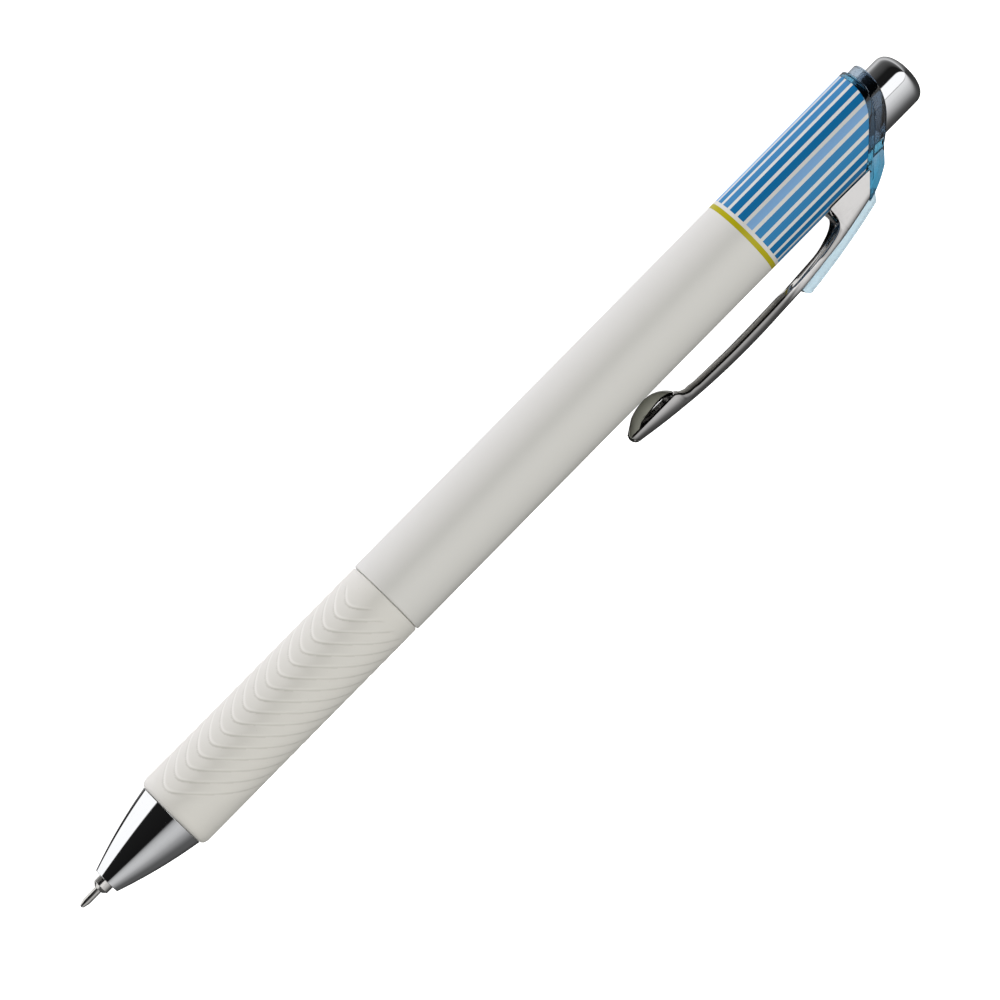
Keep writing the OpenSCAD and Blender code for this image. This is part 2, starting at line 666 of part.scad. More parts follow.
module ink() color("midnightblue") laid() rod(ink_x + seat_gap, follower_x - seat_gap, plug_r);
module follower() color("honeydew") laid() rod(follower_x, follower_x + follower_length, plug_r);
module tail_plug() color("white") laid() difference() {
    union() {
        rod(head_x - plug_in, head_x + seat_gap, plug_r);
        rod(head_x, refill_length, refill_r - plug_step);
    }
    rod(head_x - plug_in - cut, refill_length + cut, vent_r);
}

barrel();
grip();
nose_cone();
cam_guide();
clip_holder();
clip();
clip_inlay();
button_cap();
plunger();
rotor();
return_spring();
refill_tube();
refill_joint();
tip_holder();
needle();
writing_ball();
ball_spring();
ink();
follower();
tail_plug();
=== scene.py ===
# %% [markdown]
# A gel pen with a push button, a rubber grip and a sprung metal clip.
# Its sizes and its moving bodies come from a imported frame, which is loaded first and never moved.
# Each cell below models or paints one piece around that frame.

# %% Load the frame
import json
import math

import bmesh
import bpy
from mathutils import Matrix, Vector


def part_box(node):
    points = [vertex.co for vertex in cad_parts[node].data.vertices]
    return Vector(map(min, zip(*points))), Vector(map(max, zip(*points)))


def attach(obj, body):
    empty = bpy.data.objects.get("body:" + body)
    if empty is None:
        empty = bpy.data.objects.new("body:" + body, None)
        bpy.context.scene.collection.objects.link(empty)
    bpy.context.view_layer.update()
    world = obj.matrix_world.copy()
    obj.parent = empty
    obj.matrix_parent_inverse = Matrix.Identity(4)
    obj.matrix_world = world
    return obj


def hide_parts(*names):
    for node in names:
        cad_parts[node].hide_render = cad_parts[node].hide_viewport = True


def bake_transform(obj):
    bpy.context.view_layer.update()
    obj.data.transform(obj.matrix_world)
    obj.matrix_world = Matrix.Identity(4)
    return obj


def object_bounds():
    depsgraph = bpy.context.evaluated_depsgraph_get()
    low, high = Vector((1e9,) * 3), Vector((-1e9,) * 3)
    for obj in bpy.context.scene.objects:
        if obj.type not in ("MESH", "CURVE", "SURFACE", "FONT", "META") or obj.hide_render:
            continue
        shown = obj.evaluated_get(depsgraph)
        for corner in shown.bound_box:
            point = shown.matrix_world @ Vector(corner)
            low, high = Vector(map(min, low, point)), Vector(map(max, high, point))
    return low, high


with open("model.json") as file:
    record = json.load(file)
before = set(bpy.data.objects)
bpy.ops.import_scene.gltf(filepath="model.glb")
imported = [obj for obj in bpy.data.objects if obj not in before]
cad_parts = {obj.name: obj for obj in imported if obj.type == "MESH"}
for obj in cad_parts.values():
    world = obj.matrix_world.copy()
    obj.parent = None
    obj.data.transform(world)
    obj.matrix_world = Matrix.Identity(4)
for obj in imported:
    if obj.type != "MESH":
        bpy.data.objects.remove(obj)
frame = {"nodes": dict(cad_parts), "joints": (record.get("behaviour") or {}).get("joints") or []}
frame_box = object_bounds()

# %% [markdown]
# Pens are drawn most easily along their own axis, in millimetres: x runs from the writing point to the
# button, z points to the clip, and y is across the clip. The pen lies on a table, so it is turned about
# that axis. The turn is not typed in again: the clip's hinge in the frame lies along the pen's own y.

# %% The pen's own axes
MM = 0.001
hinge = next(joint for joint in frame["joints"] if joint["name"] == "clip_flex")
ACROSS = Vector(hinge["axis"])
LAID = Matrix(((1, 0, 0), (0, ACROSS.y, -ACROSS.z), (0, ACROSS.z, ACROSS.y))).to_4x4()
OWN_TO_ROW = LAID @ Matrix.Scale(MM, 4)
LIE = math.atan2(-ACROSS.y, ACROSS.z)


def span(node):
    """The place along the axis where a frame node starts and ends, in millimetres."""
    low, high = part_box(node)
    return low.x / MM, high.x / MM


def radius(node):
    """The outer radius of a round frame node, in millimetres."""
    low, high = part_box(node)
    return (high.z - low.z) / 2 / MM


print("the pen lies turned by", round(math.degrees(LIE), 2), "degrees")

# %% [markdown]
# The places where the pieces meet are read off the frame's boxes.
# What a box can't tell, such as a bore or a wall, is a value named here once.

# %% Places and radii
NOSE_X, NOSE_END_X = span("nose_cone")
BARREL_X, REAR_X = span("barrel")
GRIP_X, GRIP_END_X = span("grip")
BUTTON_X, END_X = span("button_cap")
CLIP_X = span("clip")[0]
HOLDER_DEPTH, LATCH_ROOM = 9.65, 20.65
HOLDER_X = REAR_X - HOLDER_DEPTH
CHAMBER_X = HOLDER_X - LATCH_ROOM
BODY_X = GRIP_END_X + 0.05
BARREL_R = radius("barrel")
GRIP_R = radius("grip")
NOSE_R = radius("nose_cone")
BUTTON_R = radius("button_cap")
BORE_R = radius("refill_tube") + 0.15
CHAMBER_R = BARREL_R - 1.1
THREAD_ROOT_R = BORE_R + 0.35
SPRING_R = radius("return_spring")
print("barrel", round(BODY_X, 2), "to", round(REAR_X, 2), "mm, radius", round(BARREL_R, 2))

# %% [markdown]
# The barrel's rear edge is square across at the back and slants forwards under the clip, and the clear
# holder repeats that line. Seen from the side it is a straight line, an arc, and a slanted straight line.
# One function gives the line, so every piece that follows the edge uses the same one.

# %% The slanted rear edge
EDGE_SLOPE = math.radians(42.4)
EDGE_BEND = 6.5
EDGE_BREAK = 3.37
BEND_X = REAR_X - EDGE_BEND
BEND_Z = EDGE_BREAK - BARREL_R - EDGE_BEND * math.tan(EDGE_SLOPE / 2)


def edge_x(z, out=0.0):
    """Place along the axis of the rear edge at height z, moved back square to itself by out."""
    bend = EDGE_BEND + out
    rise = z - BEND_Z
    if rise <= 0:
        return BEND_X + bend
    if rise <= bend * math.sin(EDGE_SLOPE):
        return BEND_X + math.sqrt(bend * bend - rise * rise)
    return BEND_X + bend * math.cos(EDGE_SLOPE) - (rise - bend * math.sin(EDGE_SLOPE)) * math.tan(EDGE_SLOPE)


print("the edge runs from", round(edge_x(-BARREL_R), 2), "to", round(edge_x(BARREL_R), 2), "mm")

# %% [markdown]
# Most pieces of a pen are turned on a lathe, and Blender's spin does the same: a line of points is carried
# round the axis. Stacked cylinders would need joining, while one spun outline is a closed wall from the
# start. Where the outline meets the axis the spun points fall together and are merged.

# %% A lathe
def lathe(outline, steps=128, closed=False):
    """Spins [x, radius] points about the pen's axis."""
    bm = bmesh.new()
    points = [bm.verts.new((x, 0, r)) for x, r in outline]
    lines = [bm.edges.new(pair) for pair in zip(points, points[1:])]
    if closed:
        lines.append(bm.edges.new((points[-1], points[0])))
    bmesh.ops.spin(bm, geom=points + lines, cent=(0, 0, 0), axis=(1, 0, 0), dvec=(0, 0, 0),
                   angle=math.tau, steps=steps, use_merge=True, use_duplicate=False)
    bmesh.ops.remove_doubles(bm, verts=bm.verts, dist=1e-4)
    return bm


def quarter_turn(steps):
    return [math.pi / 2 * i / steps for i in range(steps + 1)]


def arc(x, r, size, start, end, steps=6):
    """Points on a circle about [x, r], angles in degrees from the axis."""
    turns = [math.radians(start + (end - start) * i / steps) for i in range(steps + 1)]
    return [(x + size * math.cos(a), r + size * math.sin(a)) for a in turns]


def slant_end(bm):
    """Moves everything drawn behind the barrel's plain rear edge onto the slanted edge."""
    for vert in bm.verts:
        if vert.co.x > REAR_X - 1e-3:
            vert.co.x = edge_x(vert.co.z, vert.co.x - REAR_X)


# %% [markdown]
# Every finished mesh is handled the same way. Its faces are made to point outwards, it is laid on the table,
# and a narrow bevel rounds the edges that a mould or a press would round, because real edges catch light.
# Then the piece is tied to the body that it moves with and takes the place of its plain frame nodes.

# %% Finish a piece
def placed(name, data):
    """An object for a mesh, a camera or a lamp, put into the scene."""
    obj = bpy.data.objects.new(name, data)
    bpy.context.scene.collection.objects.link(obj)
    return obj


def meshed(name, bm, recalculate=True):
    """An object with a bmesh's shape. The bmesh is freed."""
    if recalculate:
        bmesh.ops.recalc_face_normals(bm, faces=bm.faces)
    mesh = bpy.data.meshes.new(name)
    bm.to_mesh(mesh)
    bm.free()
    return placed(name, mesh)


def rounded(obj, width, segments, angle):
    """Rounds the edges sharper than an angle."""
    bevel = obj.modifiers.new("rounded edges", "BEVEL")
    bevel.width, bevel.segments, bevel.limit_method = width * MM, segments, "ANGLE"
    bevel.angle_limit, bevel.harden_normals = math.radians(angle), True


def piece(name, bm, body, nodes, material, edge=0.05, segments=2, recalculate=True):
    if recalculate:
        bmesh.ops.recalc_face_normals(bm, faces=bm.faces)
    bmesh.ops.transform(bm, matrix=OWN_TO_ROW, verts=bm.verts)
    obj = meshed(name, bm, recalculate=False)
    mesh = obj.data
    mesh.shade_smooth()
    mesh.set_sharp_from_angle(angle=math.radians(40))
    mesh.materials.append(material)
    if edge:
        rounded(obj, edge, segments, 35)
    if body:
        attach(obj, body)
    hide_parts(*nodes)
    print(name, "has", len(mesh.polygons), "faces")
    return obj


# %% [markdown]
# Materials are networks of nodes, and a few short helpers keep them readable: one adds a node and joins it,
# one does sums, and one opens a group whose sockets can be used by several materials.

# %% Helpers for shader nodes
def add(tree, kind, settings=None, **inputs):
    node = tree.nodes.new(kind)
    for key, value in (settings or {}).items():
        setattr(node, key, value)
    for key, value in inputs.items():
        by_number = key[0] == "i" and key[1:].isdigit()
        socket = node.inputs[int(key[1:]) if by_number else key.replace("_", " ")]
        if isinstance(value, bpy.types.NodeSocket):
            tree.links.new(value, socket)
        else:
            socket.default_value = value
    return node


def sums(tree, operation, *values):
    inputs = {f"i{i}": value for i, value in enumerate(values)}
    return add(tree, "ShaderNodeMath", {"operation": operation}, **inputs).outputs[0]


def blended(tree, amount, first, second):
    mix = add(tree, "ShaderNodeMix", {"data_type": "RGBA"}, i0=amount, i6=first, i7=second)
    return mix.outputs[2]


def faded(tree, value, start, end, low=0.0, high=1.0):
    settings = {"interpolation_type": "SMOOTHSTEP"}
    return add(tree, "ShaderNodeMapRange", settings, i0=value, i1=start, i2=end, i3=low, i4=high).outputs[0]


def own_place(tree):
    """The pen's own x, y and z in millimetres at the shaded point."""
    where = add(tree, "ShaderNodeTexCoord").outputs["Object"]
    turned = add(tree, "ShaderNodeMapping", Vector=where, Rotation=(-math.pi / 2 - LIE, 0, 0),
                 Scale=(1 / MM, 1 / MM, 1 / MM))
    return turned.outputs[0], add(tree, "ShaderNodeSeparateXYZ", Vector=turned.outputs[0]).outputs


def linear(red, green, blue):
    """A colour as a screen shows it, from 0 to 255, made into the light that Blender works with."""
    parts = [c / 255 for c in (red, green, blue)]
    return (*[p / 12.92 if p < 0.04045 else ((p + 0.055) / 1.055) ** 2.4 for p in parts], 1)


def new_group(name, inputs, outputs):
    """An empty node group with named sockets. Returns it with its two end nodes."""
    tree = bpy.data.node_groups.new(name, "ShaderNodeTree")
    for direction, sockets in (("INPUT", inputs), ("OUTPUT", outputs)):
        for socket, value in sockets.items():
            kind = "NodeSocketColor" if isinstance(value, tuple) else "NodeSocketFloat"
            made = tree.interface.new_socket(name=socket, in_out=direction, socket_type=kind)
            if direction == "INPUT":
                made.default_value = value
    return tree, tree.nodes.new("NodeGroupInput").outputs, tree.nodes.new("NodeGroupOutput").inputs


def use(tree, group, **inputs):
    node = tree.nodes.new("ShaderNodeGroup")
    node.node_tree = group
    for key, value in inputs.items():
        node.inputs[key.replace("_", " ")].default_value = value
    return node.outputs


def carried(tree, name):
    """The value of an attribute that the mesh carries."""
    return add(tree, "ShaderNodeAttribute", {"attribute_name": name}).outputs["Fac"]


def roughen(tree, shader, height, strength, distance=0.02):
    """Joins a height to the shader's normal. The distance is in millimetres."""
    raised = add(tree, "ShaderNodeBump", Height=height, Strength=strength, Distance=distance * MM)
    tree.links.new(raised.outputs[0], shader["Normal"])


def new_material(name, **constants):
    """A material with a Principled shader whose plain values are set on its own sockets."""
    material = bpy.data.materials.new(name)
    material.use_nodes = True
    tree = material.node_tree
    tree.nodes.clear()
    out = tree.nodes.new("ShaderNodeOutputMaterial")
    shader = add(tree, "ShaderNodeBsdfPrincipled", **constants)
    tree.links.new(shader.outputs[0], out.inputs["Surface"])
    return material, tree, shader.inputs


# %% [markdown]
# Two effects are shared. Moulded plastic is never one even colour: it is faintly mottled and has a very fine
# skin. Plated or drawn metal carries hair-fine rubbing along its length, and handling softens its gloss in
# patches. Each effect is a group, so that a material only says how strong it wants it.

# %% Shared groups for the finishes
mould_skin, given, made = new_group(
    "Mould skin", {"Colour": (0.8, 0.8, 0.8, 1), "Mottle": 0.03, "Roughness": 0.3, "Grain": 3.0},
    {"Colour": (0, 0, 0, 1), "Roughness": 0.0, "Height": 0.0})
place, _ = own_place(mould_skin)
patches = add(mould_skin, "ShaderNodeTexNoise", Vector=place, Scale=0.35, Detail=3.0,
              Roughness=0.6).outputs[0]
skin = add(mould_skin, "ShaderNodeTexNoise", Vector=place, Scale=given["Grain"], Detail=2.0).outputs[0]
depth = sums(mould_skin, "MULTIPLY", sums(mould_skin, "SUBTRACT", patches, 0.5), given["Mottle"])
lighter = sums(mould_skin, "ADD", depth, 1.0)
scaled = add(mould_skin, "ShaderNodeVectorMath", {"operation": "SCALE"}, i0=given["Colour"], Scale=lighter)
mould_skin.links.new(scaled.outputs[0], made["Colour"])
uneven = sums(mould_skin, "MULTIPLY", sums(mould_skin, "SUBTRACT", patches, 0.5), 0.2)
mould_skin.links.new(sums(mould_skin, "ADD", given["Roughness"], uneven), made["Roughness"])
mould_skin.links.new(skin, made["Height"])

rubbed_metal, given, made = new_group(
    "Rubbed metal", {"Colour": (0.8, 0.8, 0.8, 1), "Roughness": 0.08, "Rubbing": 0.1},
    {"Colour": (0, 0, 0, 1), "Roughness": 0.0, "Height": 0.0})
place, _ = own_place(rubbed_metal)
drawn = add(rubbed_metal, "ShaderNodeMapping", Vector=place, Scale=(0.4, 9.0, 9.0)).outputs[0]
hairs = add(rubbed_metal, "ShaderNodeTexNoise", Vector=drawn, Scale=2.2, Detail=4.0, Roughness=0.7).outputs[0]
smears = add(rubbed_metal, "ShaderNodeTexNoise", Vector=place, Scale=0.5, Detail=2.0).outputs[0]
worn = faded(rubbed_metal, sums(rubbed_metal, "MULTIPLY", hairs, smears), 0.22, 0.42)
wear = sums(rubbed_metal, "MULTIPLY", worn, given["Rubbing"])
rubbed_metal.links.new(sums(rubbed_metal, "ADD", given["Roughness"], wear), made["Roughness"])
shade = sums(rubbed_metal, "SUBTRACT", 1.0, sums(rubbed_metal, "MULTIPLY", wear, 0.6))
scaled = add(rubbed_metal, "ShaderNodeVectorMath", {"operation": "SCALE"}, i0=given["Colour"], Scale=shade)
rubbed_metal.links.new(scaled.outputs[0], made["Colour"])
rubbed_metal.links.new(hairs, made["Height"])
print("groups:", ", ".join(sorted(group.name for group in bpy.data.node_groups)))

# %% [markdown]
# Plastics and metals differ in only a few numbers, so one function makes each family.
# The bump is small, since these finishes look smooth until the light runs along them.

# %% Two families of finish
def plastic(name, colour, roughness=0.3, mottle=0.03, grain=3.0, bump=0.03, **constants):
    material, tree, shader = new_material(name, **constants)
    skin = use(tree, mould_skin, Colour=linear(*colour), Mottle=mottle, Roughness=roughness, Grain=grain)
    tree.links.new(skin["Colour"], shader["Base Color"])
    tree.links.new(skin["Roughness"], shader["Roughness"])
    roughen(tree, shader, skin["Height"], bump)
    return material


def metal(name, colour, roughness=0.06, rubbing=0.1, bump=0.02, shade_under=None, **constants):
    """An optional height over the pen's axis below which the metal gets painted shade, dark as a contact
    shadow.
    """
    material, tree, shader = new_material(name, Metallic=1.0, **constants)
    finish = use(tree, rubbed_metal, Colour=linear(*colour), Roughness=roughness, Rubbing=rubbing)
    shown = finish["Colour"]
    if shade_under is not None:
        # Painted shade: a dark band under that height stands in for the shadow in the gap where the clip's
        # sides meet the barrel.
        painted_shade = faded(tree, own_place(tree)[1][2], shade_under, shade_under + 0.1, 1.0, 0.0)
        shown = blended(tree, painted_shade, shown, linear(28, 22, 20))
    tree.links.new(shown, shader["Base Color"])
    tree.links.new(finish["Roughness"], shader["Roughness"])
    roughen(tree, shader, finish["Height"], bump, 0.01)
    return material


# Below this height the clip's sides get painted contact shadow, along their foot on the barrel.
CHEEK_SHADE_Z = BARREL_R - 0.63
chrome = metal("chrome plate", (226, 227, 229), roughness=0.05, rubbing=0.06)
clip_steel = metal("clip steel", (220, 218, 217), roughness=0.1, shade_under=CHEEK_SHADE_Z)
# The sheet's inner side is a little rougher, and a little darker as painted shade inside the channel.
clip_inside_shade = metal("clip inside painted shade", (196, 194, 192), roughness=0.14, rubbing=0.12)
# The cut edge is painted near black, as shade along the sheet's thin edges.
clip_edge_shade = metal("clip edge painted shade", (34, 32, 30), roughness=0.2)
tongue_steel = metal("clip tongue", (176, 177, 168), roughness=0.12, rubbing=0.12)
needle_steel = metal("needle steel", (205, 203, 200), roughness=0.16, rubbing=0.15)
spring_steel = metal("spring steel", (190, 190, 192), roughness=0.2, rubbing=0.15)
carbide = metal("ball carbide", (140, 140, 145), roughness=0.12, rubbing=0.05)
inlay_blue = plastic("pale blue plastic", (206, 230, 242), roughness=0.1, mottle=0.05, bump=0.01,
                     Transmission_Weight=0.6, IOR=1.49, Coat_Weight=0.4, Coat_Roughness=0.04)
white_part = plastic("white mechanism plastic", (228, 228, 226), roughness=0.35)
grey_part = plastic("grey mechanism plastic", (176, 180, 184), roughness=0.35)
frosted = plastic("frosted plastic", (214, 226, 232), roughness=0.4, Transmission_Weight=0.6, IOR=1.5)
tube_clear = plastic("clear tube plastic", (226, 236, 238), roughness=0.12, Transmission_Weight=0.85,
                     IOR=1.5)
follower_gel = plastic("clear follower gel", (222, 230, 200), roughness=0.1, Transmission_Weight=0.8,
                       IOR=1.46)
ink_blue = plastic("blue ink", (16, 34, 110), roughness=0.08, mottle=0.1, Coat_Weight=0.5)

# %% [markdown]
# The holder's plastic is clear and tinted. Thin rings of it look almost colourless and the thick wing looks
# deep blue. A volume would tint by depth, but a volume is not kept with the mesh, so the tint follows an
# attribute that the holder's mesh carries: 0 where the plastic is thin and 1 where it is thick.

# %% Clear plastic whose tint deepens in the wing
holder_blue, tree, shader = new_material("clear blue plastic", Transmission_Weight=1.0, IOR=1.5)
pale = use(tree, mould_skin, Colour=linear(134, 148, 162), Mottle=0.04, Roughness=0.02, Grain=3.0)
tinted = blended(tree, carried(tree, "depth"), pale["Colour"], linear(44, 118, 148))
tree.links.new(tinted, shader["Base Color"])
tree.links.new(faded(tree, pale["Roughness"], 0.0, 0.2, 0.01, 0.06), shader["Roughness"])
roughen(tree, shader, pale["Height"], 0.02)

# %% [markdown]
# The barrel is pearl white plastic. Its rear end is printed: a thin gold ring, and then long stripes of four
# blues with white between them. The print could be an image, but it is only rings and angles, so sums do it:
# the distance along the axis picks the ring, and the angle round the axis picks the stripe.

# %% Pearl white with a gold ring and blue stripes
STRIPES = 23
FIRST_STRIPE = 3.6
STRIPE_WIDTH = 10.8
TONES = {"D": linear(14, 109, 166), "M": linear(50, 131, 186), "P": linear(132, 178, 226),
         "L": linear(64, 136, 190)}
STRIPE_ORDER = "MLDDPMMDDMLDDPMMDDMLDDP"
FIRST_IN_ORDER = -5
RING_FROM, RING_TO, STRIPES_FROM = REAR_X - 22.9, REAR_X - 22.2, REAR_X - 21.7
STRIPE_BLUR, RING_BLUR = 0.006, 0.02
GOLD = linear(184, 174, 20)
PEARL = linear(226, 225, 222)

barrel_white, tree, shader = new_material("pearl white plastic", Specular_IOR_Level=0.3)
skin = use(tree, mould_skin, Colour=PEARL, Mottle=0.012, Roughness=0.42, Grain=5.0)
_, place = own_place(tree)
turn = sums(tree, "MULTIPLY", sums(tree, "ARCTAN2", place[2], place[1]), 180 / math.pi)
pitch = 360 / STRIPES
# Counted from half a stripe before the first one in the order, so that whole numbers are gaps' middles.
order_starts = FIRST_STRIPE + (FIRST_IN_ORDER - 0.5) * pitch
count = sums(tree, "DIVIDE", sums(tree, "SUBTRACT", turn, order_starts), pitch)
count = sums(tree, "FLOORED_MODULO", count, float(STRIPES))
ramp = tree.nodes.new("ShaderNodeValToRGB")
ramp.color_ramp.interpolation = "CONSTANT"
for number, tone in enumerate(STRIPE_ORDER):
    stops = ramp.color_ramp.elements
    stop = stops[number] if number < 2 else stops.new(number / STRIPES)
    stop.position = number / STRIPES
    stop.color = TONES[tone]
tree.links.new(sums(tree, "DIVIDE", count, float(STRIPES)), ramp.inputs[0])
from_middle = sums(tree, "ABSOLUTE", sums(tree, "SUBTRACT", sums(tree, "FRACT", count), 0.5))
HALF = STRIPE_WIDTH / pitch / 2
in_stripe = faded(tree, from_middle, HALF - STRIPE_BLUR, HALF + STRIPE_BLUR, 1.0, 0.0)
past = faded(tree, place[0], STRIPES_FROM - RING_BLUR, STRIPES_FROM + RING_BLUR)
in_ring = sums(tree, "MULTIPLY", faded(tree, place[0], RING_FROM - RING_BLUR, RING_FROM + RING_BLUR),
               faded(tree, place[0], RING_TO - RING_BLUR, RING_TO + RING_BLUR, 1.0, 0.0))
printed = blended(tree, sums(tree, "MULTIPLY", in_stripe, past), skin["Colour"], ramp.outputs[0])
tree.links.new(blended(tree, in_ring, printed, GOLD), shader["Base Color"])
tree.links.new(sums(tree, "SUBTRACT", skin["Roughness"], sums(tree, "MULTIPLY", in_ring, 0.1)),
               shader["Roughness"])
roughen(tree, shader, skin["Height"], 0.02)
print(STRIPES, "stripes,", round(math.radians(STRIPE_WIDTH) * BARREL_R, 2), "mm wide")

# %% [markdown]
# The barrel is one moulded tube. In front it steps down to the seat of the grip and ends in a threaded
# spigot that the nose screws on. Inside, a narrow bore guides the refill and a wide chamber holds the
# latch. All of it is one closed outline, spun, and only the rear end is then pushed onto the slanted edge.

# %% Barrel
SEAT_R = GRIP_R - 1.04
THREAD_RISE, THREAD_FLAT = 0.22, 0.07
THREAD_R = THREAD_ROOT_R + THREAD_RISE
BARREL_EDGE = 0.25
threads = []
for turn_x in (BARREL_X + 0.4, BARREL_X + 1.2, BARREL_X + 2.0):
    threads += [(turn_x, THREAD_ROOT_R), (turn_x + THREAD_RISE, THREAD_R),
                (turn_x + THREAD_RISE + THREAD_FLAT, THREAD_R),
                (turn_x + 2 * THREAD_RISE + THREAD_FLAT, THREAD_ROOT_R)]
tube = lathe([(BARREL_X, BORE_R), (BARREL_X, THREAD_ROOT_R)] + threads
             + [(NOSE_END_X, THREAD_ROOT_R), (NOSE_END_X, SEAT_R), (BODY_X, SEAT_R)]
             + arc(BODY_X + BARREL_EDGE, BARREL_R - BARREL_EDGE, BARREL_EDGE, 180, 90, 4)
             + [(REAR_X, BARREL_R), (REAR_X, CHAMBER_R), (CHAMBER_X, CHAMBER_R), (CHAMBER_X, BORE_R)],
             192, closed=True)
slant_end(tube)
piece("barrel_shell", tube, "barrel", ["barrel"], barrel_white, edge=0.04)

# %% [markdown]
# The nose is a chromed cone with a slight belly. A plain cone would reflect one straight band of light,
# while the belly bends it. It is hollow: the writing tip, the spring and the thread each have their own
# bore.

# %% Nose cone
MOUTH_R, BELLY = 1.82, 0.26
TIP_BORE, SPRING_BORE, THREAD_BORE = 1.25, SPRING_R + 0.15, THREAD_R + 0.05
SPRING_SEAT_X = NOSE_X + 3.15
steps = [i / 32 for i in range(33)]
flank = [(NOSE_X + u * (NOSE_END_X - NOSE_X), MOUTH_R + u * (NOSE_R - MOUTH_R) + 4 * BELLY * u * (1 - u))
         for u in steps]
THREAD_END_X = BARREL_X - 0.05
cone = lathe(flank + [(NOSE_END_X, THREAD_BORE), (THREAD_END_X, THREAD_BORE), (THREAD_END_X, SPRING_BORE),
                      (SPRING_SEAT_X, SPRING_BORE), (SPRING_SEAT_X, TIP_BORE), (NOSE_X, TIP_BORE)],
             160, closed=True)
piece("nose_cone_shell", cone, "barrel", ["nose_cone"], chrome, edge=0.08, segments=3)

# %% [markdown]
# The grip is a soft rubber sleeve with shallow ridges that run round it as chevrons. They could be a bump
# map, but then the mesh itself would be smooth, so they are real: a fine sleeve is spun and each of its
# points is lifted by the ridge it lies on. Two attributes keep where the valleys and the crests lie, and
# the material uses them for painted shade and a painted highlight.

# %% Rubber grip with chevron ridges
RIDGE_X, RIDGE_STEP = GRIP_X + 1.55, 1.97
RIDGE_HEIGHT = 0.1
POINT_TURN = math.radians(-40)
POINT_ROUND = 0.22
CREST = 0.03
FADE_FROM, FADE_TO = math.radians(112), math.radians(138)
COLLAR_X = GRIP_END_X - 1.9
GRIP_BORE = GRIP_R - 1.02
GRIP_ROUND = 0.55


def smooth_step(value, start, end):
    share = min(max((value - start) / (end - start), 0), 1)
    return share * share * (3 - 2 * share)


def ridge(x, y, z):
    """How high the grip stands, 0 at a ridge's foot and 1 on its top, and its painted shade and painted
    highlight.
    """
    aside = math.remainder(math.atan2(z, y) - POINT_TURN, math.tau)
    along = x - GRIP_R * (math.sqrt(aside * aside + POINT_ROUND ** 2) - POINT_ROUND) - RIDGE_X
    number = along / RIDGE_STEP
    share = number - math.floor(number)
    shape = smooth_step(share, 0, 0.18) * (1 - 0.75 * smooth_step(share, 0.2, 1))
    shown = (smooth_step(number, -0.9, 0) * smooth_step(x, GRIP_X + 0.9, GRIP_X + 2.2)
             * (1 - smooth_step(x, COLLAR_X - 0.9, COLLAR_X - 0.2))
             * (1 - smooth_step(abs(aside), FADE_FROM, FADE_TO)))
    # Towards the clip's side, where less light falls, the painted shade spreads and weakens and the painted
    # highlight fades.
    soft = 0.11 + 0.1 * smooth_step(aside, -0.2, 1.0)
    dark = shown * (1 - smooth_step(abs(share - 0.04), 0.0, soft)) * (1 - 0.35 * smooth_step(aside, 0.2, 1.2))
    light = shown * (1 - smooth_step(abs(share - 0.2), 0.0, 0.12)) * (1 - 0.7 * smooth_step(aside, 0.0, 0.8))
    return 1 - shown * (1 - shape), dark, light


ROWS = 230
front = [(GRIP_X + 2 * GRIP_ROUND * (1 - math.cos(a)), NOSE_R + (GRIP_R - NOSE_R) * math.sin(a))
         for a in quarter_turn(9)]
middle = [(front[-1][0] + (GRIP_END_X - GRIP_ROUND / 2 - front[-1][0]) * i / ROWS, GRIP_R)
          for i in range(1, ROWS)]
rear = arc(GRIP_END_X - GRIP_ROUND / 2, GRIP_R - GRIP_ROUND / 2, GRIP_ROUND / 2, 90, 0, 5)
sleeve = lathe([(GRIP_X, GRIP_BORE)] + front + middle + rear + [(GRIP_END_X, GRIP_BORE)], 192, closed=True)
shade = sleeve.verts.layers.float.new("valley_painted_shade")
gleam = sleeve.verts.layers.float.new("crest")
for vert in sleeve.verts:
    around = math.hypot(vert.co.y, vert.co.z)
    if around > NOSE_R + 0.3:
        raised, vert[shade], vert[gleam] = ridge(*vert.co)
        lift = (raised - 1) * RIDGE_HEIGHT + CREST * (1 - smooth_step(vert.co.x, COLLAR_X, COLLAR_X + 0.4))
        vert.co.y *= (around + lift) / around
        vert.co.z *= (around + lift) / around
print(len(sleeve.faces) * 2, "triangles on the grip")

# %% [markdown]
# Rubber scatters light softly and shows almost no gloss. The material paints shade into the valleys between
# the ridges and a highlight along their crests, and fine specks of dust lie on the skin.

# %% Rubber finish
grip_rubber, tree, shader = new_material("grip rubber", Specular_IOR_Level=0.25, Sheen_Weight=0.15,
                                         Sheen_Roughness=0.5)
skin = use(tree, mould_skin, Colour=linear(230, 228, 223), Mottle=0.02, Roughness=0.62, Grain=6.0)
place, _ = own_place(tree)
specks = add(tree, "ShaderNodeTexVoronoi", Vector=place, Scale=1.1).outputs["Distance"]
dusty = sums(tree, "MULTIPLY", faded(tree, specks, 0.03, 0.06, 1.0, 0.0), 0.25)
# Painted shade in the valleys and a painted highlight on the crests, both read from the sleeve's attributes.
shaded = sums(tree, "MULTIPLY", carried(tree, "valley_painted_shade"), 0.32)
toned = blended(tree, shaded, skin["Colour"], linear(160, 156, 144))
toned = blended(tree, sums(tree, "MULTIPLY", carried(tree, "crest"), 0.8), toned, linear(250, 248, 244))
tree.links.new(blended(tree, dusty, toned, linear(170, 166, 150)), shader["Base Color"])
tree.links.new(skin["Roughness"], shader["Roughness"])
roughen(tree, shader, skin["Height"], 0.12)
piece("grip_sleeve", sleeve, "barrel", ["grip"], grip_rubber, edge=0)

# %% [markdown]
# The push button is a deep drawn cap, chromed, with a domed end that a thumb presses.
# The dome is fuller than an ellipse, almost flat in the middle, so its highlight is broad.

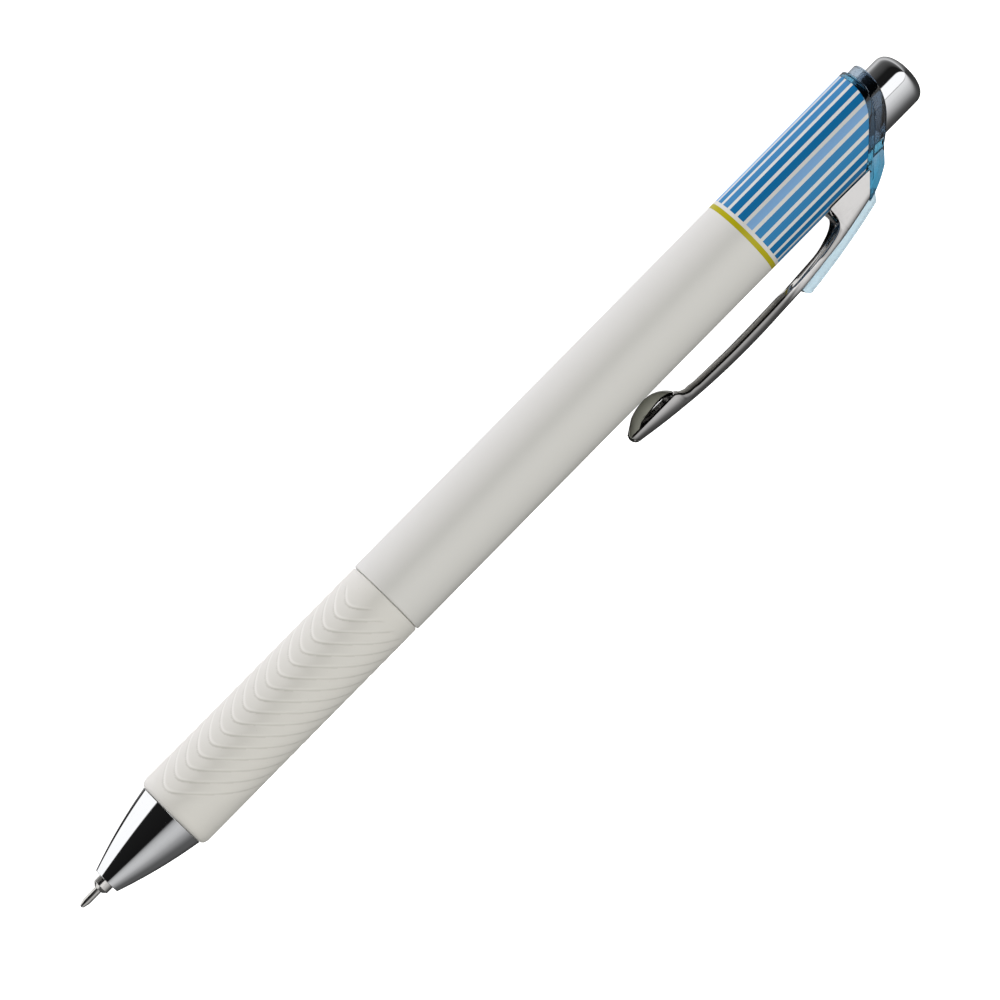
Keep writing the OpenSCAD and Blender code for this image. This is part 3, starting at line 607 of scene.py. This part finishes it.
# %% Push button
CAP_WALL, CAP_END, DOME, FULLNESS = 0.65, 1.6, 2.1, 2.35
dome = [(END_X - DOME + DOME * math.sin(a) ** (2 / FULLNESS), BUTTON_R * math.cos(a) ** (2 / FULLNESS))
        for a in quarter_turn(24)[:-1]] + [(END_X, 0)]
cap = lathe([(END_X - CAP_END, 0), (END_X - CAP_END, BUTTON_R - CAP_WALL), (BUTTON_X, BUTTON_R - CAP_WALL),
             (BUTTON_X, BUTTON_R - 0.1), (BUTTON_X + 0.1, BUTTON_R)] + dome, 144)
piece("button_shell", cap, "button", ["button_cap"], chrome, edge=0.05)

# %% [markdown]
# The writing tip is a thin needle in a turned holder. Both are so small that a plain node would show its
# corners in a close view, so they are spun finely, with the cone and the lip that real ones have.

# %% Needle and its holder
NEEDLE_X, NEEDLE_END_X = span("needle")
TIP_X, TIP_END_X = span("tip_holder")
NEEDLE_R, TIP_R, BALL_R = radius("needle"), radius("tip_holder"), radius("writing_ball")
FEED_R, INK_WAY, CONE_END_X = 0.13, 0.65, 1.0
point = lathe([(NEEDLE_X, BALL_R - 0.005), (NEEDLE_X, BALL_R + 0.05), (CONE_END_X, NEEDLE_R),
               (NEEDLE_END_X, NEEDLE_R), (NEEDLE_END_X, FEED_R), (2 * BALL_R, FEED_R),
               (BALL_R + FEED_R, BALL_R + 0.01), (BALL_R, BALL_R + 0.01)], 64, closed=True)
piece("needle_tube", point, "refill", ["needle"], needle_steel, edge=0.012)
holder_bore = NEEDLE_R + 0.02
turned_tip = lathe([(TIP_X, holder_bore), (TIP_X, NEEDLE_R + 0.12), (TIP_X + 0.45, TIP_R), (TIP_END_X, TIP_R),
                    (TIP_END_X, INK_WAY), (NEEDLE_END_X + 0.05, INK_WAY), (NEEDLE_END_X + 0.05, holder_bore)],
                   72, closed=True)
piece("tip_holder_turned", turned_tip, "refill", ["tip_holder"], needle_steel, edge=0.04)

# %% [markdown]
# The return spring is wound wire with a few closed turns at each end. Spin makes it too: the wire's round
# section is carried round the axis while dvec moves it on, a little for closed turns and more for open ones.
# One end stands in the nose and the other pushes on the refill. The wire is drawn at the frame's length and
# is tied to neither.

# %% Return spring
SPRING_X, SPRING_END_X = span("return_spring")
WIRE_R, OPEN_TURNS, CLOSED_TURNS, SIDES, TURN_STEPS = 0.175, 8, 1.5, 10, 28
closed_pitch = 2 * WIRE_R + 0.02
open_pitch = (SPRING_END_X - SPRING_X - 2 * WIRE_R - 2 * CLOSED_TURNS * closed_pitch) / OPEN_TURNS
coil = bmesh.new()
ring = bmesh.ops.create_circle(coil, cap_ends=True, segments=SIDES, radius=WIRE_R,
                               matrix=Matrix.Translation((SPRING_X + WIRE_R, 0, SPRING_R - WIRE_R))
                               @ Matrix.Rotation(math.pi / 2, 4, "X"))
end = list({face for vert in ring["verts"] for face in vert.link_faces})
for turns, rise in ((CLOSED_TURNS, closed_pitch), (OPEN_TURNS, open_pitch), (CLOSED_TURNS, closed_pitch)):
    count = round(turns * TURN_STEPS)
    carried = end + list({part for face in end for part in [*face.edges, *face.verts]})
    spun = bmesh.ops.spin(coil, geom=carried, cent=(0, 0, 0), axis=(1, 0, 0), dvec=(rise / TURN_STEPS, 0, 0),
                          angle=math.tau * turns, steps=count, use_duplicate=False)
    end = [part for part in spun["geom_last"] if isinstance(part, bmesh.types.BMFace)]
bmesh.ops.remove_doubles(coil, verts=coil.verts, dist=1e-4)
spring = piece("return_spring_wire", coil, None, ["return_spring"], spring_steel, edge=0)
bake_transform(spring)

# %% [markdown]
# The clip is one strip of steel, folded into a shallow channel: an arched back with two sides. At the front
# the sides grow deeper, and the strip's end turns under and comes back as a bump that holds the paper.
# At the root the sides reach down to the barrel. A box cut to this shape would look carved. Here one line of
# points across the strip is extruded from the root to the tip and bent to each place, as a press would do,
# and the sheet gets its thickness last.

# %% The clip's side view
SHEET = 0.45
ARCH_R, ARCH_TOP, ARCH_X = 104.0, BARREL_R + 4.78, REAR_X - 31.5
FRONT_W, ROOT_W, CORNER = 2.0, 3.1, 0.8
ROOT_X = REAR_X - 12.7
INLAY_X, INLAY_END_X = REAR_X - 21.9, REAR_X - 6.7
FOOT_Z, SPOON_Z, ROOT_RIM = math.sqrt((BARREL_R + 0.2) ** 2 - ROOT_W ** 2), BARREL_R + 2.15, 0.35
FOOT_RISE = 0.15
TIP_TURN, SHOULDER, ROLL = 0.95, 0.95, 0.15
BOW, EDGE_BOW, EDGE_SHARE, BOW_RISE = 1.8, 12, 0.22, 0.12
DRAFT = math.tan(math.radians(3))
TURN_X = CLIP_X + TIP_TURN


def back_z(x):
    """Height of the clip's arched back over the pen's axis."""
    return ARCH_TOP - ARCH_R + math.sqrt(ARCH_R ** 2 - (x - ARCH_X) ** 2)


def half_width(x):
    """Half the strip's width: rounded at the front end, narrow along the arm, and wide at the root."""
    if x < CLIP_X + CORNER:
        return FRONT_W - CORNER + math.sqrt(max(CORNER ** 2 - (CLIP_X + CORNER - x) ** 2, 0))
    return FRONT_W + (ROOT_W - FRONT_W) * smooth_step(x, ROOT_X - 5.5, ROOT_X + 0.5)


def smooth_path(points, per_gap=5):
    """A curve through the given points, with points added between each two."""
    rows = [Vector(p) for p in points]
    rows = [2 * rows[0] - rows[1], *rows, 2 * rows[-1] - rows[-2]]
    path = []
    for a, b, c, d in zip(rows, rows[1:], rows[2:], rows[3:]):
        for i in range(per_gap):
            u = i / per_gap
            path.append(b + 0.5 * u * (c - a + u * (2 * a - 5 * b + 4 * c - d + u * (3 * b - 3 * c + d - a))))
    return path + [rows[-2]]


rear_back_x = REAR_X - 8.0
for _ in range(20):
    rear_back_x = edge_x(back_z(rear_back_x), ROOT_RIM)
rear_foot_x = edge_x(FOOT_Z, ROOT_RIM)
# Each station is the place on the back, the place of the side's free edge, and that edge's height.
foot = [(rear_back_x + (ROOT_X + 0.25 - rear_back_x) * u, rear_foot_x + (ROOT_X + 0.3 - rear_foot_x) * u,
         FOOT_Z + FOOT_RISE * (1 - u)) for u in (0, 0.25, 0.5, 0.75, 0.92)]
root_curve = [(ROOT_X + back, ROOT_X + free, z) for back, free, z in (
    (0.15, 0.14, FOOT_Z + 0.03), (0.0, 0.04, FOOT_Z + 0.35), (-0.15, 0.0, 5.9), (-0.4, -0.15, 6.5),
    (-0.75, -0.45, 7.02), (-1.2, -0.95, 7.42), (-1.8, -1.6, 7.74), (-2.6, -2.5, 8.02))]
arm = [(x, x, z) for x, z in ((121, 8.42), (118, 8.62), (115, 8.8), (112, 8.92), (109, 8.98), (105, 9.02),
                              (102, 8.96), (100, 8.9), (98.9, 8.86))]
spoon = [(98.0, 98.0, 8.72), (97.5, 97.4, 8.7), (97.1, 96.9, 8.52), (96.8, 96.5, 8.3), (96.5, 96.25, 8.0),
         (96.2, 96.05, 7.8), (95.7, 95.6, SPOON_Z), (94, 94, SPOON_Z), (92, 92, SPOON_Z),
         (90.4, 90.2, SPOON_Z), (TURN_X + 0.35, CLIP_X + 0.75, SPOON_Z),
         (TURN_X, CLIP_X + 0.24, SPOON_Z)]
stations = smooth_path(foot + root_curve + arm + spoon, 4)
print(len(stations), "stations from the root to the tip")

# %% [markdown]
# At the root the strip has flat sides and tight shoulders. Along the arm it is bowed like a leaf spring,
# which makes a thin strip stiff. So two rows of points across the strip are worked out and mixed.
# Extruding the row of edges and placing its new points, station after station, is a loft. At the tip only
# the middle of the row goes on, round the fold and along the bump.

# %% The clip's strip
ROLL_STEPS, SHOULDER_STEPS, BACK_STEPS = 3, 7, 3


def bow(out):
    """Height of the bowed section, 0 at its edge, where out is 1, and 1 in its middle."""
    return EDGE_SHARE * (1 - out ** EDGE_BOW) + (1 - EDGE_SHARE) * (1 - out ** BOW)


def across(station):
    """The row of points across the strip at a station, from one free edge to the other."""
    back, free, low_z = station
    bowed = 1 - smooth_step(back, INLAY_X - 4, INLAY_X + 1)
    top_z = back_z(back) + BOW_RISE * bowed
    tall = top_z - low_z
    roll, shoulder = min(ROLL, 0.25 * tall), min(SHOULDER, 0.7 * tall)
    inset = 0.6 * shoulder
    levels = [(roll * (1 - math.cos(a)), roll * (1 - math.sin(a))) for a in quarter_turn(ROLL_STEPS)]
    levels += [(roll * 1.2, 0), (tall - shoulder - 0.2 * roll, 0)]
    levels += [(tall - shoulder * (1 - math.sin(a)), inset * (1 - math.cos(a)))
               for a in quarter_turn(SHOULDER_STEPS)]
    flat = half_width(back) - inset
    levels += [(tall, inset + flat * i / BACK_STEPS) for i in range(1, BACK_STEPS)]
    half = []
    for number, (level, inwards) in enumerate(levels):
        out = 1 - number / len(levels)
        level += (tall * bow(out) - level) * bowed
        x = free + (back - free) * level / tall
        folded = half_width(x) - inwards - level * DRAFT * (half_width(x) - inwards) / half_width(x)
        half.append(Vector((x, folded + (half_width(x) * out - folded) * bowed, low_z + level)))
    other = [Vector((p.x, -p.y, p.z)) for p in reversed(half)]
    return half + [Vector((back, 0, top_z))] + other


def carry_on(bm, edges, order, points):
    """Extrudes a row of edges and puts its new points in place. Returns the new row."""
    grown = bmesh.ops.extrude_edge_only(bm, edges=edges)
    new = [part for part in grown["geom"] if isinstance(part, bmesh.types.BMVert)]
    row = []
    for old in order:
        row.append(next(v for edge in old.link_edges for v in [edge.other_vert(old)] if v in new))
    for vert, point in zip(row, points):
        vert.co = point
    return [bm.edges.get(pair) for pair in zip(row, row[1:])], row


strip = bmesh.new()
row = [strip.verts.new(point) for point in across(stations[0])]
edges = [strip.edges.new(pair) for pair in zip(row, row[1:])]
for station in stations[1:]:
    edges, row = carry_on(strip, edges, row, across(station))

BUMP_X, BUMP_Z = CLIP_X + 4.7, BARREL_R + 0.1
BUMP_FRONT_R, BUMP_REAR_R = 7, 3.9
TONGUE_W, TONGUE_SLOT = 1.5, 3


def bent(x, z, size, turns):
    """Places of the tongue round a bend about [x, z]. Each turn is an angle and how far the edges curl in."""
    return [(x + size * math.cos(math.radians(a)), z + size * math.sin(math.radians(a)), curl, a)
            for a, curl in turns]


arm_faces = set(strip.faces)
tongue = bent(TURN_X, back_z(TURN_X) + BOW_RISE - TIP_TURN, TIP_TURN, (
    (118, 0.5), (136, 0.52), (154, 0.55), (172, 0.59), (190, 0.68), (208, 0.78), (226, 0.88), (243, 0.96)))
tongue += bent(BUMP_X, BUMP_Z + BUMP_FRONT_R, BUMP_FRONT_R, (
    (247, 1.04), (252, 1.12), (258, 1.18), (264, 1.18), (270, 1.14)))
tongue += bent(BUMP_X, BUMP_Z + BUMP_REAR_R, BUMP_REAR_R, (
    (280, 1.04), (290, 0.86), (300, 0.64), (310, 0.42), (319, 0.22), (326, 0.08)))
flat_at = [i for i, vert in enumerate(row) if abs(vert.co.y) <= TONGUE_W + 0.1]
row = row[flat_at[0]:flat_at[-1] + 1]
edges = [strip.edges.get(pair) for pair in zip(row, row[1:])]
share = [vert.co.y / abs(row[0].co.y) for vert in row]
start_w = abs(row[0].co.y)
for number, (x, z, curl, a) in enumerate(tongue):
    inward = Vector((-math.cos(math.radians(a)), 0, -math.sin(math.radians(a))))
    wide = start_w + (TONGUE_W - start_w) * min(number / 4, 1)
    narrow = 1 - 0.35 * smooth_step(number, len(tongue) - 5, len(tongue) - 1)
    points = [Vector((x, s * wide * narrow, z)) + inward * curl * abs(s) ** 2.2 for s in share]
    edges, row = carry_on(strip, edges, row, points)
for face in strip.faces:
    if face not in arm_faces:
        face.material_index = TONGUE_SLOT
# An open sheet has no inside, so the highest face tells which way is out.
bmesh.ops.recalc_face_normals(strip, faces=strip.faces)
highest = max(strip.faces, key=lambda face: face.calc_center_median().z)
if highest.normal.z < 0:
    bmesh.ops.reverse_faces(strip, faces=strip.faces)
clip = piece("clip_strip", strip, "clip", ["clip"], clip_steel, edge=0, recalculate=False)
# The sheet's inner side and its cut edge take the materials one and two places after the outer side's own,
# painted a little darker and near black as shade.
for finish in (clip_inside_shade, clip_edge_shade, tongue_steel, clip_inside_shade, clip_edge_shade):
    clip.data.materials.append(finish)
sheet = clip.modifiers.new("sheet", "SOLIDIFY")
sheet.material_offset, sheet.material_offset_rim = 1, 2
sheet.thickness = SHEET * MM
sheet.offset = -1
rounded(clip, 0.11, 3, 50)

# %% [markdown]
# A pale blue bar is let into the clip's back. It follows the arch, its front end is rounded and its rear
# end is cut along the slant. Its side view is one face, extruded across the clip, and its long edges are
# bevelled.

# %% Inlay on the clip
INLAY_T, INLAY_W, INLAY_EDGE = 1.16, 1.5, 0.35
INLAY_NOSE, INLAY_SILL = 0.95, 0.35


def side_slab(outline, half):
    """A side view of [x, z] points, made 2 * half thick across the clip."""
    bm = bmesh.new()
    face = bm.faces.new([bm.verts.new((x, -half, z)) for x, z in outline])
    grown = bmesh.ops.extrude_face_region(bm, geom=[face])
    far = [part for part in grown["geom"] if isinstance(part, bmesh.types.BMVert)]
    bmesh.ops.translate(bm, vec=(0, 2 * half, 0), verts=far)
    bmesh.ops.recalc_face_normals(bm, faces=bm.faces)
    return bm


def bevel_where(bm, test, width, segments=3):
    chosen = [edge for edge in bm.edges if test(edge)]
    bmesh.ops.bevel(bm, geom=chosen, offset=width, offset_type="OFFSET", affect="EDGES", segments=segments,
                    profile=0.5, material=-1, clamp_overlap=True)


def over_back(start, end, rise, steps):
    return [(x, back_z(x) + rise) for x in [start + (end - start) * i / steps for i in range(steps + 1)]]


slant = math.tan(EDGE_SLOPE)
top_end = INLAY_END_X - INLAY_T * slant
nose_curve = [(INLAY_X + INLAY_NOSE * (1 - math.cos(a)),
               back_z(INLAY_X) + INLAY_SILL + (INLAY_T - INLAY_SILL) * math.sin(a))
              for a in quarter_turn(7)[:-1]]
bar = side_slab(over_back(INLAY_X, INLAY_END_X, 0.05, 14)
                + list(reversed(over_back(INLAY_X + 1.0, top_end, INLAY_T, 14))) + list(reversed(nose_curve)),
                INLAY_W)
bevel_where(bar, lambda e: abs((e.verts[0].co - e.verts[1].co).y) < 1e-4
            and min(v.co.z - back_z(v.co.x) for v in e.verts) > 0.2, INLAY_EDGE)
piece("clip_inlay_bar", bar, "clip", ["clip_inlay"], inlay_blue, edge=0.08)

# %% [markdown]
# The clear blue holder is glued into the barrel's rear end. Outside it shows as rings that repeat the
# slanted edge, and as a wing on the clip's side, whose tab runs under the clip's root. The rings are spun
# and then pushed onto the slant. The wing is a slab, and a Boolean joins the two, because clear plastic
# shows every wall inside it, and two loose pieces would show a seam.

# %% Clear holder
SLEEVE_R, PIN_R, CAP_BORE = CHAMBER_R - 0.02, 3.1, BUTTON_R + 0.15
COLLAR_R, GROOVE_R = BARREL_R - 0.5, BARREL_R - 0.75
RIM, GROOVE, COLLAR, SEAT, LIP = 0.85, 1.05, 2.5, 0.05, 0.8
E = REAR_X
rings = lathe([(HOLDER_X, PIN_R), (HOLDER_X, SLEEVE_R), (E + SEAT, SLEEVE_R), (E + SEAT, BARREL_R)]
              + arc(E + RIM - 0.2, BARREL_R - 0.2, 0.2, 90, 0, 4) + [
              (E + RIM, GROOVE_R), (E + GROOVE, GROOVE_R), (E + GROOVE, COLLAR_R)]
              + arc(E + COLLAR - 0.3, COLLAR_R - 0.3, 0.3, 90, 0, 5) + [
              (E + COLLAR, CAP_BORE + 0.1), (E + COLLAR - 0.1, CAP_BORE), (HOLDER_X + LIP, CAP_BORE),
              (HOLDER_X + LIP, PIN_R)], 160, closed=True)
slant_end(rings)
bmesh.ops.recalc_face_normals(rings, faces=rings.faces)

WING_W, WING_Z, WING_X = 2 * (ROOT_W - SHEET - 0.2), BARREL_R + 2.2, REAR_X - 7.6
WING_FOOT, WING_GROOVE = CAP_BORE + 0.15, 0.25
TAB_X = ROOT_X + 0.65


def wing_z(x):
    run = x - WING_X
    return WING_Z - 0.32 * run - 0.042 * run * run


def meets(out, high):
    """Where the wing's back crosses the edge's line moved back by out."""
    x = REAR_X
    for _ in range(40):
        x = 0.5 * (x + edge_x(high(x), out))
    return x


wing_start = meets(ROOT_RIM + 0.2, wing_z)
wing_end = meets(COLLAR, wing_z)
levels = [i / 10 for i in range(11)]
front_line = [(edge_x(z, ROOT_RIM + 0.2), z) for z in
              [WING_FOOT + (wing_z(wing_start) - WING_FOOT) * u for u in levels]]
rear_line = [(edge_x(z, COLLAR), z) for z in [WING_FOOT + (wing_z(wing_end) - WING_FOOT) * u for u in levels]]
contour = [(x, wing_z(x)) for x in [wing_start + (wing_end - wing_start) * i / 16 for i in range(1, 16)]]
wing = side_slab(front_line + contour + list(reversed(rear_line)), WING_W / 2)
bevel_where(wing, lambda e: e.verts[0].co.z > BARREL_R - 0.6 and e.verts[1].co.z > BARREL_R - 0.6
            and abs((e.verts[0].co - e.verts[1].co).y) < 1e-4, 0.45, 4)
tab_end = [(edge_x(z, ROOT_RIM + 0.3), z) for z in (6.2, WING_FOOT)]
tab = side_slab([(TAB_X, WING_FOOT)] + over_back(TAB_X, WING_X + 1.0, -SHEET - 0.2, 6) + tab_end, WING_W / 2)
line = [WING_FOOT + (wing_z(wing_end) + 0.3 - WING_FOOT) * u for u in levels]
grooves = []
for side in (-1, 1):
    cut = side_slab([(edge_x(z, RIM), z) for z in line] + [(edge_x(z, GROOVE), z) for z in reversed(line)],
                    WING_GROOVE)
    bmesh.ops.translate(cut, vec=(0, side * WING_W / 2, 0), verts=cut.verts)
    grooves.append(cut)
hollow = lathe([(TAB_X - 2, 0), (TAB_X - 2, BARREL_R + 0.2), (E + SEAT, BARREL_R + 0.2), (E + SEAT, 0)], 160)
slant_end(hollow)


def cut_or_join(base, tools):
    """Applies Booleans in turn and returns the result as a new bmesh. The loose objects are removed."""
    for operation, tool in tools:
        step = base.modifiers.new(operation, "BOOLEAN")
        step.operation, step.object, step.solver = operation, tool, "EXACT"
    bpy.context.view_layer.update()
    result = bmesh.new()
    result.from_object(base, bpy.context.evaluated_depsgraph_get())
    for obj in [base] + [tool for _, tool in tools]:
        bpy.data.objects.remove(obj)
    return result


tab = meshed("tab", cut_or_join(meshed("tab block", tab), [("DIFFERENCE", meshed("hollow", hollow))]))
cuts = [("DIFFERENCE", meshed("groove", cut)) for cut in grooves]
holder_mesh = cut_or_join(meshed("rings", rings), [("UNION", meshed("wing", wing)), ("UNION", tab)] + cuts)
bmesh.ops.remove_doubles(holder_mesh, verts=holder_mesh.verts, dist=1e-3)
depth = holder_mesh.verts.layers.float.new("depth")
for vert in holder_mesh.verts:
    behind = vert.co.x - edge_x(vert.co.z)
    in_rim = 1 - smooth_step(behind, RIM, GROOVE)
    on_tab = 1 - smooth_step(behind, -1.0, -0.3)
    vert[depth] = max(0.8 * in_rim, smooth_step(vert.co.z, 2.5, 5.5)) * (1 - 0.85 * on_tab)
piece("clear_holder", holder_mesh, "barrel", ["clip_holder"], holder_blue, edge=0)

# %% [markdown]
# What is inside the barrel keeps the frame's shape, which is exact, and gets a finish of its own:
# the latch in hard plastic, the refill in clear and frosted plastic, ink, and the ball.

# %% Finishes for the frame's own nodes
INSIDE = {
    "cam_guide": (grey_part, "grey_mechanism_plastic"), "plunger": (white_part, "white_mechanism_plastic"),
    "rotor": (white_part, "white_mechanism_plastic"), "refill_tube": (tube_clear, "clear_tube_plastic"),
    "refill_joint": (frosted, "frosted_plastic"), "tail_plug": (frosted, "frosted_plastic"),
    "writing_ball": (carbide, "ball_carbide"), "ball_spring": (spring_steel, "spring_steel"),
    "ink": (ink_blue, "blue_ink"), "follower": (follower_gel, "clear_follower"),
}
for node, (finish, slot) in INSIDE.items():
    obj = frame["nodes"][node]
    obj.data.materials.clear()
    obj.data.materials.append(finish)
print(len(INSIDE), "nodes keep the frame's shape")

# %% [markdown]
# The camera looks down on the pen, square to its axis and a little past the clip's side.
# It stands far off with a long lens, as for a catalogue picture, so the pen hardly tapers.

# %% Camera
TILT = LIE - math.radians(10)
PICTURE_TURN = math.radians(45.353)
AIM_X, AIM_CLIPWARDS, STAND_X, STAND_OFF = 71.5, 1.535, 32.5, 780
LENS, SENSOR = 228.9, 36
towards = Vector((0, -math.sin(TILT), math.cos(TILT)))
clipwards = Vector((0, -math.cos(TILT), -math.sin(TILT)))
aim = Vector((AIM_X * MM, 0, 0)) + clipwards * AIM_CLIPWARDS * MM
stand = Vector((STAND_X * MM, 0, 0)) + towards * STAND_OFF * MM
back = (stand - aim).normalized()
level = Vector((math.cos(PICTURE_TURN), 0, 0)) + clipwards * math.sin(PICTURE_TURN)
right = level.cross(back).cross(back) * -1
right.normalize()
up = back.cross(right)
camera_data = bpy.data.cameras.new("camera")
camera_data.lens, camera_data.sensor_width = LENS, SENSOR
camera_data.clip_start, camera_data.clip_end = 0.01, 20
camera = placed("camera", camera_data)
camera.matrix_world = Matrix.Translation(stand) @ Matrix((right, up, back)).transposed().to_4x4()
bpy.context.scene.camera = camera
print("camera stands", round((stand - aim).length, 3), "m away")

# %% [markdown]
# The floor is a plain white table. Chrome is only as good as what it mirrors, so the studio is described
# from the mirror's side: how bright each direction round the pen is, for directions that lean to the
# writing point and for the rest. A soft box on the left, a black gap, and a grey card that fades away on
# the right give the bands of light along the nose, and a narrow strip overhead gives the one on the
# button. Card planes could do it, but two colour ramps in the sky are easier to read and to change.

# %% The studio that the chrome mirrors
# Each pair is an angle round the pen, from the camera towards the clip, and a brightness from 0 to 255.
NOSE_SIDE = [(-180, 30), (-139, 30), (-136, 255), (-63, 255), (-60, 26), (11, 20), (14, 110), (20, 160),
             (30, 184), (42, 192), (54, 188), (64, 176), (75, 152), (87, 130), (97, 106), (108, 86),
             (135, 80), (160, 50)]
OTHER_SIDE = [(-180, 60), (-130, 200), (-112, 116), (-99, 84), (-70, 58), (-56, 26), (-22, 24), (-19, 255),
              (20, 255), (21, 120), (22, 120), (23, 222), (27, 224), (40, 214), (50, 200), (60, 188),
              (70, 170), (80, 152), (90, 128), (100, 104), (112, 82), (130, 64), (160, 54)]
MIRROR_GAIN = 1.28


def brightness(tree, turn, levels):
    """Looks an angle round the pen up in a list of angles and brightnesses."""
    ramp = tree.nodes.new("ShaderNodeValToRGB")
    stops = ramp.color_ramp.elements
    for number, (angle, level) in enumerate(levels):
        stop = stops[number] if number < 2 else stops.new((angle + 180) / 360)
        stop.position = (angle + 180) / 360
        stop.color = linear(level, level, level)
    share = add(tree, "ShaderNodeMapRange", i0=turn, i1=-180.0, i2=180.0).outputs[0]
    tree.links.new(share, ramp.inputs[0])
    return ramp.outputs[0]


world = bpy.data.worlds.new("studio")
bpy.context.scene.world = world
world.use_nodes = True
tree = world.node_tree
tree.nodes.clear()
looks_to = add(tree, "ShaderNodeTexCoord").outputs["Generated"]
dots = [add(tree, "ShaderNodeVectorMath", {"operation": "DOT_PRODUCT"}, i0=looks_to, i1=axis).outputs["Value"]
        for axis in (clipwards, towards, Vector((1, 0, 0)))]
turn = sums(tree, "MULTIPLY", sums(tree, "ARCTAN2", dots[0], dots[1]), 180 / math.pi)
mirrored = blended(tree, faded(tree, dots[2], -0.13, -0.07), brightness(tree, turn, NOSE_SIDE),
                   brightness(tree, turn, OTHER_SIDE))
rays = add(tree, "ShaderNodeLightPath").outputs
mirrors = sums(tree, "MAXIMUM", rays["Is Glossy Ray"], rays["Is Transmission Ray"])
plain = blended(tree, rays["Is Camera Ray"], (0.09, 0.09, 0.09, 1), (1, 1, 1, 1))
seen = blended(tree, mirrors, plain, mirrored)
backdrop = add(tree, "ShaderNodeBackground", Color=seen, Strength=MIRROR_GAIN)
tree.links.new(backdrop.outputs[0], tree.nodes.new("ShaderNodeOutputWorld").inputs["Surface"])
print(len(NOSE_SIDE) + len(OTHER_SIDE), "brightnesses round the pen")

# %% [markdown]
# White plastic shows form only through soft differences of light: a low light from the left brightens one
# edge, and a large light beside the camera fills the rest and leaves the clip's side in light shade.
# The lamps are kept out of the mirrors, which see the studio above.

# %% Floor and lamps
plane = bmesh.new()
bmesh.ops.create_grid(plane, x_segments=8, y_segments=8, size=2.5,
                      matrix=Matrix.Translation((0.07, 0, frame_box[0].z - 0.0002)))
floor = meshed("floor", plane, recalculate=False)
floor.visible_glossy = False
table_top, tree, shader = new_material("table top", Roughness=0.9, Specular_IOR_Level=0.0,
                                       Emission_Strength=1.0)
# The table glows. To the camera it shows plain white. To light scattering onto the pen it is dark on one side
# of the pen's axis and glows on the other, as painted bounce light from the table.
where = add(tree, "ShaderNodeTexCoord").outputs["Object"]
beside = add(tree, "ShaderNodeSeparateXYZ", Vector=where).outputs["Y"]
lit = blended(tree, faded(tree, beside, -0.006, 0.006), (0.05, 0.05, 0.04, 1), (0.6, 0.6, 0.62, 1))
scatters = add(tree, "ShaderNodeLightPath").outputs["Is Diffuse Ray"]
tree.links.new(blended(tree, scatters, (0.9, 0.9, 0.9, 1), (0.05, 0.05, 0.05, 1)), shader["Base Color"])
tree.links.new(blended(tree, scatters, (1, 1, 1, 1), lit), shader["Emission Color"])
floor.data.materials.append(table_top)


def lamp(name, turn, distance, along, width, length, power, colour):
    """A soft area light beside the pen: turn is from the camera towards the clip's side, in degrees."""
    direction = towards * math.cos(math.radians(turn)) + clipwards * math.sin(math.radians(turn))
    data = bpy.data.lights.new(name, "AREA")
    data.shape, data.size, data.size_y, data.energy, data.color = "RECTANGLE", length, width, power, colour
    light = placed(name, data)
    sideways = Vector((1, 0, 0))
    place = sideways * along * MM + direction * distance
    light.matrix_world = (Matrix.Translation(place)
                          @ Matrix((sideways, direction.cross(sideways), direction)).transposed().to_4x4())
    light.visible_camera = light.visible_glossy = light.visible_transmission = False


lamp("low left lamp", -97, 0.6, 70, 0.1, 0.9, 4.1, (0.985, 0.975, 1.0))
lamp("front lamp", 22, 0.6, 70, 0.5, 0.9, 3.35, (1.0, 0.995, 0.96))
bpy.context.scene.view_settings.view_transform = "Standard"
print(len(bpy.data.lights), "lamps")
